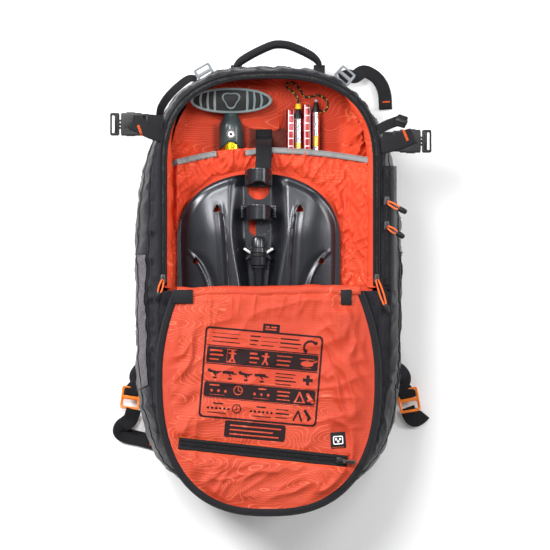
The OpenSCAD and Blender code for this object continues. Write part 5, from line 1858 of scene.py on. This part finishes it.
def slider_mesh(name, mats, place, body, node, tip, cord=True):
    """A zip slider: two plates on a neck, a bridge, and an orange cord loop that ends in a moulded grip."""
    black = mats["slider"]
    outline = [(-4.6, -3.2), (-3.2, -5.8), (-1, -6.2), (0, -4.6), (1, -6.2), (3.2, -5.8), (4.6, -3.2),
               (3.4, 2.5), (2.6, 6.0), (-2.6, 6.0), (-3.4, 2.5)]
    parts = [plate("plate", [outline], 1.9, 3.6, black, 0.6, place),
             plate("plate", [outline], 0, 1.3, black, 0.5, place)]
    bridge = [(0, -3.6, 3.3), (0, -3.4, 5.2), (0, -1, 6.1), (0, 2, 5.6), (0, 3.4, 3.4)]
    metal = sweep("bridge", place(curve_through(bridge, 5)), tape_section(1.8, 1.1), black,
                  up=(1, 0.01, 0.01))
    parts.append(metal)
    obj = join(name, parts)
    adopt(obj, body, node, "slider_metal")
    if not cord:
        return
    tip = np.asarray(tip, float)
    start = place(np.array([[0, -1.0, 5.0]]))[0]
    end = start + np.array([tip[0], tip[1], 0])
    end[2] = max(end[2] - 2.5, RIM_Z + 3)
    along = unit(end - start)
    side = np.cross(along, (0, 0, 1))
    loops = []
    for s in (-1, 1):
        mid = (start + end) / 2 + side * s * 2.6 + [0, 0, 1.0]
        loops.append(curve_through([start, start + along * 3 + side * s * 1.8, mid,
                                    end - along * 6 + side * s * 1.2], 5))
    strands = [sweep("cord", loop, round_section(1.15, 10), mats["stitch"], up=(0.1, 0.2, 1))
               for loop in loops]
    adopt(join(name + "_cord", strands), body, (), "cord_orange")
    grip = curve_through([end - along * 9, end - along * 5, end, end + along * 4], 5)
    scale = np.interp(np.linspace(0, 1, len(grip)), [0, 0.15, 0.5, 0.85, 1], [0.5, 1, 1.15, 1, 0.5])
    section = oval_section(3.3, 2.1, 0.8, 0.8, 16)
    adopt(sweep(name + "_grip", grip, section, mats["black_plastic"], scale=scale), body)


def build_sliders(mats):
    z = RIM_Z + 2.6
    for name, x, y, tip in (("main_slider_left", -139, -3, (-7, -24)),
                            ("main_slider_right", 139, -3, (13, -40))):
        slider_mesh(name + "_body", mats, placed((x, y, z + 1.4)), name, name, tip)
    for name, y, tip in (("side_slider_upper", 98, (22, -12)), ("side_slider_lower", 66, (19, -12))):
        slider_mesh(name + "_body", mats, placed((152, y, z + 0.1)), name, name, tip)
    x, y = ZIP_FROM + ZIP_DIR * 6
    place = placed((x, y, PANEL_HIGH[2] + 1.6), PANEL_ZIP_ANGLE + 90)
    slider_mesh("panel_slider_body", mats, place, "panel_slider", "panel_zip_slider", None, cord=False)
    low, high = node_box("panel_zip_pull")
    centre = (low + high) / 2
    place = placed((centre[0], centre[1], high[2] - 2.6), PANEL_ZIP_ANGLE + 180)
    loops = [[(-8.5, -1.6), (-6, -2.2), (6.5, -3.3), (8.6, -2.4), (8.6, 2.4), (6.5, 3.3), (-6, 2.2),
              (-8.5, 1.6)], ellipse(-6.2, 0, 1.2, 1.0, 14)]
    pull = plate("panel_pull_body", loops, -1.1, 1.1, mats["pull"], 0.6, place)
    pad = plate("panel_pull_pad", [rounded_rect(-2.5, -1.6, 6.2, 1.6, 1)], 0.9, 1.5, mats["rubber"], 0.25,
                place)
    adopt(join("panel_pull_body", [pull, pad]), "panel_pull", "panel_zip_pull", "pull_plastic")


# ------------------------------------------------------------------ straps and handle

def bar_tack(name, centre, direction, width, mats, material="stitch", body="root", rows=3):
    """A dense block of stitches across a strap."""
    d = unit(np.array(direction, float))
    across = np.cross((0, 0, 1), d)
    for k in range(rows):
        spot = np.asarray(centre, float) + d * (k - (rows - 1) / 2) * 1.1
        line = np.array([spot - across * width / 2 + across * width * t for t in np.linspace(0, 1, 8)])
        stitches(f"{name}_{k}", line, mats[material], 1.9, 1.6, 0.5, body)


def build_straps(mats):
    web, tab = mats["webbing"], mats["shell"]
    # upper side straps with their buckles
    webbing("upper_strap_left", [(-139, 197, 204.0), (-148, 198, 204.6), (-158, 199, 203.6),
                                 (-166, 198, 200.4)], 24, 1.9,
            web, replaces="upper_straps", slot="webbing_black")
    webbing("upper_strap_left_tail", [(-136, 184, 203), (-146, 186, 206.0), (-158, 190, 207.6),
                                      (-170, 197, 207.4), (-180, 201, 207)], 20, 1.7, web, up=(0.0, 0.1, 1))
    bar_tack("upper_tack_left", (-169, 190, 208.8), (1, 0.35, 0), 17, mats)
    webbing("upper_strap_right", [(146, 176, 204.2), (154, 176, 204.8), (163, 176, 203.6),
                                  (170, 176, 200.4)], 24, 1.9, web)
    webbing("upper_strap_right_tail", [(142, 170, 203), (152, 171, 206.0), (166, 175, 208.2),
                                       (178, 180, 208.0), (186, 183, 206.8)], 21, 1.7, web)
    bar_tack("upper_tack_right", (176, 184, 209.3), (1, 0.4, 0), 17, mats)
    keeper = [block("keeper", (-7, -8, 0), (7, 8, 7), mats["webbing"], 2.2, placed((171, 202, 199), -18)),
              block("keeper_band", (-8, -3.2, 0.5), (8, 3.2, 8), mats["black_plastic"], 1.4,
                    placed((171, 202, 199), -18))]
    adopt(join("upper_keeper_right", keeper), "root")
    webbing("upper_keeper_strap", [(140, 190, 203), (150, 196, 204.5), (160, 200, 204), (168, 203, 202.4)],
            13, 1.8, web)
    buckle_pair(-1, np.array([-194.0, 198.0, 196.0]), mats)
    buckle_pair(1, np.array([196.0, 176.0, 196.0]), mats)
    # load lifters
    webbing("load_lifter_left", [(-97, 262, 30), (-108, 262, 31), (-124, 250, 29), (-137, 236, 27),
                                 (-145, 222, 26), (-147, 206, 26)], 11, 1.8, web, up=(0.45, 0.55, 0.75),
            replaces="load_lifters", slot="webbing_black")
    webbing("load_lifter_right", [(92, 262, 30), (104, 266, 30.5), (112, 265, 26), (124, 272, 16),
                                  (136, 268, 11), (146, 258, 7), (152, 243, 5), (153.5, 222, 3.2)], 18, 1.8,
            web, up=(0.2, 0.25, 1))
    bar_tack("lifter_tack_right", (153.2, 232, 5.4), (0.05, -1, 0), 15, mats, rows=2)
    for name, origin, spin in (("lifter_lock_left", (-87, 270, 26), 30),
                               ("lifter_lock_right", (99, 266, 30), -40)):
        ladder_lock(name, mats["grey_plastic"], placed(origin, spin), 24, 20, "lock_grey")
    # lower side straps
    webbing("lower_tail_left", [(-181, -176, 17), (-186, -190, 12), (-197, -199, 6), (-199, -207, 3.6),
                                (-190, -212, 2.0), (-172, -216, 1.4), (-150, -222, 1.2)], 20, 1.9, web,
            up=(0.15, 0.15, 1), replaces="lower_straps", slot="webbing_black")
    bar_tack("lower_tack_left", (-158, -220, 2.8), (1, -0.3, 0), 17, mats)
    webbing("lower_tail_right", [(182, -174, 16), (187, -186, 12), (193, -190, 7), (200, -186, 4),
                                 (204, -182, 1.4)], 20, 1.9, web, up=(-0.1, 0.15, 1))
    webbing("lower_stub_left", [(-147, -137, 22), (-160, -136, 20), (-172, -141, 18), (-184, -153, 16),
                                (-186, -158, 14)], 21, 1.9, web, up=(0.05, 0.05, 1))
    webbing("lower_stub_right", [(147, -140, 22), (160, -139, 20), (170, -144, 18), (182, -156, 16),
                                 (185, -162, 14)], 22, 1.9, web, up=(-0.05, 0.05, 1))
    bar_tack("lower_tack_right", (158, -141, 22.2), (1, -0.1, 0), 18, mats, rows=2)
    for name, origin, spin, w, l in (("lower_lock_left", (-185, -161, 12), -8, 26, 30),
                                     ("lower_lock_right", (184, -164, 12), 10, 28, 32)):
        ladder_lock(name, mats["orange_plastic"], placed(origin, spin), w, l, "lock_orange")
    # compression strap patches on the flanks
    for s, y in ((-1, -139), (1, -141)):
        patch = [(s * 150, y + 18, 30), (s * 166, y + 14, 28), (s * 174, y + 6, 22), (s * 172, y, 18)]
        webbing(f"flank_patch_{side_name(s)}", patch, 30, 2.2, tab, up=(s * 0.5, 0, 0.9))
    # strap that holds the blade's upper hoop
    route = [(-8, 193, 130.6), (-8, 186, 130.8), (-8, 181, 133), (-8, 178, 144), (-8, 176, 157),
             (-8, 171, 169), (-8, 162, 177.5), (-8.5, 149, 184.5), (-9, 140, 186.5), (-9.5, 131, 187)]
    ups = [(0, 0.1, 1), (0, 0.2, 1), (0, 0.8, 0.8), (0, 1, 0.3), (0, 1, 0.3), (0, 0.8, 0.6), (0, 0.6, 0.9),
           (0, 0.3, 1), (0, 0.1, 1), (0, 0.05, 1)]
    webbing("blade_strap", route, 21, 1.8, web, up=ups, replaces="retaining_strap", slot="webbing_black")
    build_handle(mats)


def build_handle(mats):
    low, high = node_box("haul_handle")
    z = (low[2] + high[2]) / 2
    path = curve_through([(-46, 275, z), (-44, 279, z), (-38, 285, z), (-24, 293.5, z), (-8, 301.5, z),
                          (4, 306, z), (12, 306.8, z), (24, 305.5, z), (40, 299.5, z), (55, 291.5, z),
                          (63, 284, z), (66, 275, z)], 10)
    run = np.linspace(0, 1, len(path))
    bulk = 0.74 + 0.5 * smoothstep(run / 0.22) * smoothstep((1 - run) / 0.22)
    section = oval_section(4.7, 7.0, 0.7, 0.8, 20)
    grip = sweep("haul_handle_grip", path, section, mats["webbing"], scale=bulk)
    adopt(subdivide(grip), "haul_handle", "haul_handle", "webbing_black")
    side = unit(np.cross(tangents(path), (0, 0, 1)))
    seam = path + [0, 0, 1] * (7.0 * bulk[:, None]) * 0.8 + side * 1.6
    stitches("haul_handle_stitching", seam[8:-8], mats["dark_stitch"], 3.4, 2.3, 0.35, "haul_handle")
    for k, x in enumerate((-44.5, 65)):
        webbing(f"haul_foot_{k}", [(x, 279, z + 2), (x, 273, z + 4), (x, 266, z + 6)], 15, 2.2,
                mats["webbing"])


# ------------------------------------------------------------------ harness under the pack

def pad(name, outline, low, high, mats, body, nodes, slot, fill=0.7):
    """A foam pad in plan outline, crowned towards its middle, with a rounded side."""
    loop = even(np.array(outline, float), 120, closed=True)
    centre = loop.mean(axis=0)
    mid = (low + high) / 2
    rings = []
    for share, z in ((0.0, low + 0.2), (0.55, low + 0.1), (0.86, low + 0.6), (0.96, low + 2.0), (1.0, mid),
                     (0.96, high - 2.0), (0.86, high - 0.6), (0.55, high - 0.1), (0.0, high)):
        rings.append(np.c_[centre + (loop - centre) * max(share, 0.02), np.full(120, z)])
    grid = np.array(rings)
    obj = grid_mesh(name, grid[:, ::-1], mats["mesh"], wrap=True)
    work = bmesh.new()
    work.from_mesh(obj.data)
    bmesh.ops.holes_fill(work, edges=[e for e in work.edges if e.is_boundary], sides=0)
    work.to_mesh(obj.data)
    work.free()
    adopt(subdivide(obj), body, nodes, slot)
    return obj


def build_harness(mats):
    web = mats["webbing"]
    angle = np.linspace(0, 2 * math.pi, 260, endpoint=False)
    pad("back_panel_foam", body_at(angle, 1.5), BACK_LOW, BACK_HIGH, mats, "root", "back_panel",
        "pad_mesh", 0.8)
    strap_top = node_box("shoulder_straps")[1][2]
    for s in (-1, 1):
        ys = np.linspace(-20, 226, 40)
        centre = s * (66 + 16 * np.sin((ys + 20) * math.pi / 245))
        path = np.stack([centre, ys, np.full(40, strap_top / 2)], -1)
        run = np.linspace(0, 1, 40)
        scale = 0.55 + 0.45 * smoothstep(run / 0.14)
        section = oval_section(30.0, 6.4, 0.55, 0.6, 28)
        strap = sweep(f"shoulder_strap_{side_name(s)}", path, section, mats["mesh"], scale=scale)
        points = points_of(strap)
        slim = np.interp(points[:, 1], [-20, 15], [0.55, 1])
        points[:, 2] = strap_top / 2 + (points[:, 2] - strap_top / 2) / slim
        if s < 0:
            groove = (np.abs(points[:, 0] + 75) < 17) & (points[:, 1] < 87) & (points[:, 2] < 7)
            points[:, 2] = np.where(groove, 12.2, points[:, 2])
        move_points(strap, points)
        adopt(strap, "root", "shoulder_straps" if s < 0 else (), "pad_mesh")
        edge = path + [s * 24.5, 0, -strap_top / 2 + 0.9]
        if s > 0:
            stitches("shoulder_stitching_right", edge[6:-2], mats["stitch"], 4, 2.8, 0.4)
    lumbar = rounded_rect(-69, -261, 69, -177, 22, 8)
    pad("lumbar_cushion", lumbar, 0, node_box("lumbar_pad")[1][2], mats, "root", "lumbar_pad", "pad_mesh",
        0.8)
    for s in (-1, 1):
        wing = np.array([(s * 73, -256), (s * 124, -244), (s * 135, -232), (s * 134, -216),
                         (s * 122, -204), (s * 73, -182)])
        pad(f"hip_wing_{side_name(s)}", wing if s > 0 else wing[::-1], 0.4, 13, mats, "root",
            "hip_wings" if s < 0 else (), "pad_mesh", 0.75)
    for s in (-1, 1):
        webbing(f"strap_lower_{side_name(s)}", [(s * 66, -24, 6), (s * 78, -58, 5), (s * 92, -98, 5),
                                                (s * 108, -140, 5), (s * 122, -182, 6)], 18, 1.9, web,
                replaces="strap_webbing" if s < 0 else (), slot="webbing_black")
    webbing("belt_webbing_right", [(34, -120, 5), (52, -121, 5.4), (80, -130, 5), (104, -160, 5),
                                   (110, -186, 5)], 18, 1.9, web)
    webbing("belt_webbing_left", [(-46, -121, 5.4), (-58, -124, 5.2), (-80, -132, 5), (-104, -160, 5),
                                  (-110, -186, 5)], 18, 1.9, web)
    for node in ("hip_buckle_socket", "hip_buckle_plug", "sternum_strap", "sternum_plug"):
        paint(node, mats["black_plastic"])
    for node, key in (("frame_sheet", "sheet"), ("frame_stays", "aluminium"),
                      ("inflator_head", "black_plastic"),
                      ("gas_cylinder", "silver"), ("trigger_cable", "rubber"),
                      ("trigger_handle", "red_plastic")):
        paint(node, mats[key])
    build_airbag(mats)


def paint(node, material):
    """Gives a CAD node that stays as it is its final material."""
    obj = frame["nodes"][node]
    if not obj.material_slots:
        obj.data.materials.append(material)
    for item in obj.material_slots:
        item.link = "OBJECT"
        item.material = material


def build_airbag(mats):
    """The folded airbag under its cover: a gathered arch of nylon."""
    low, high = node_box("airbag")
    angle = np.linspace(0.02, math.pi - 0.02, 160)
    path = np.c_[body_at(angle, 36), np.full(160, (low[2] + high[2]) / 2)]
    section = oval_section(22.0, 26.0, 0.7, 0.7, 40)
    roll = sweep("airbag_folded", path, section, mats["nylon"])
    points = points_of(roll)
    shrink = 1 - 0.05 * (0.5 + 0.5 * np.sin(points[:, 0] / 5.0 + points[:, 2] / 6.0))
    centre = np.repeat(path, 40, axis=0)
    points = centre + (points - centre) * shrink[:, None]
    move_points(roll, points)
    adopt(roll, "root", "airbag", "airbag_nylon")


# ------------------------------------------------------------------ all of it

def main():
    make_camera()
    mats = make_materials()
    mats["deep_lining"] = deep_lining(mats)
    build_probe(mats)
    build_shell(mats)
    build_zips(mats)
    build_lining(mats)
    build_pocket(mats)
    build_panel(mats)
    build_blade(mats)
    build_grip(mats)
    build_shaft(mats)
    build_sliders(mats)
    build_straps(mats)
    build_harness(mats)
    make_stage()


main()
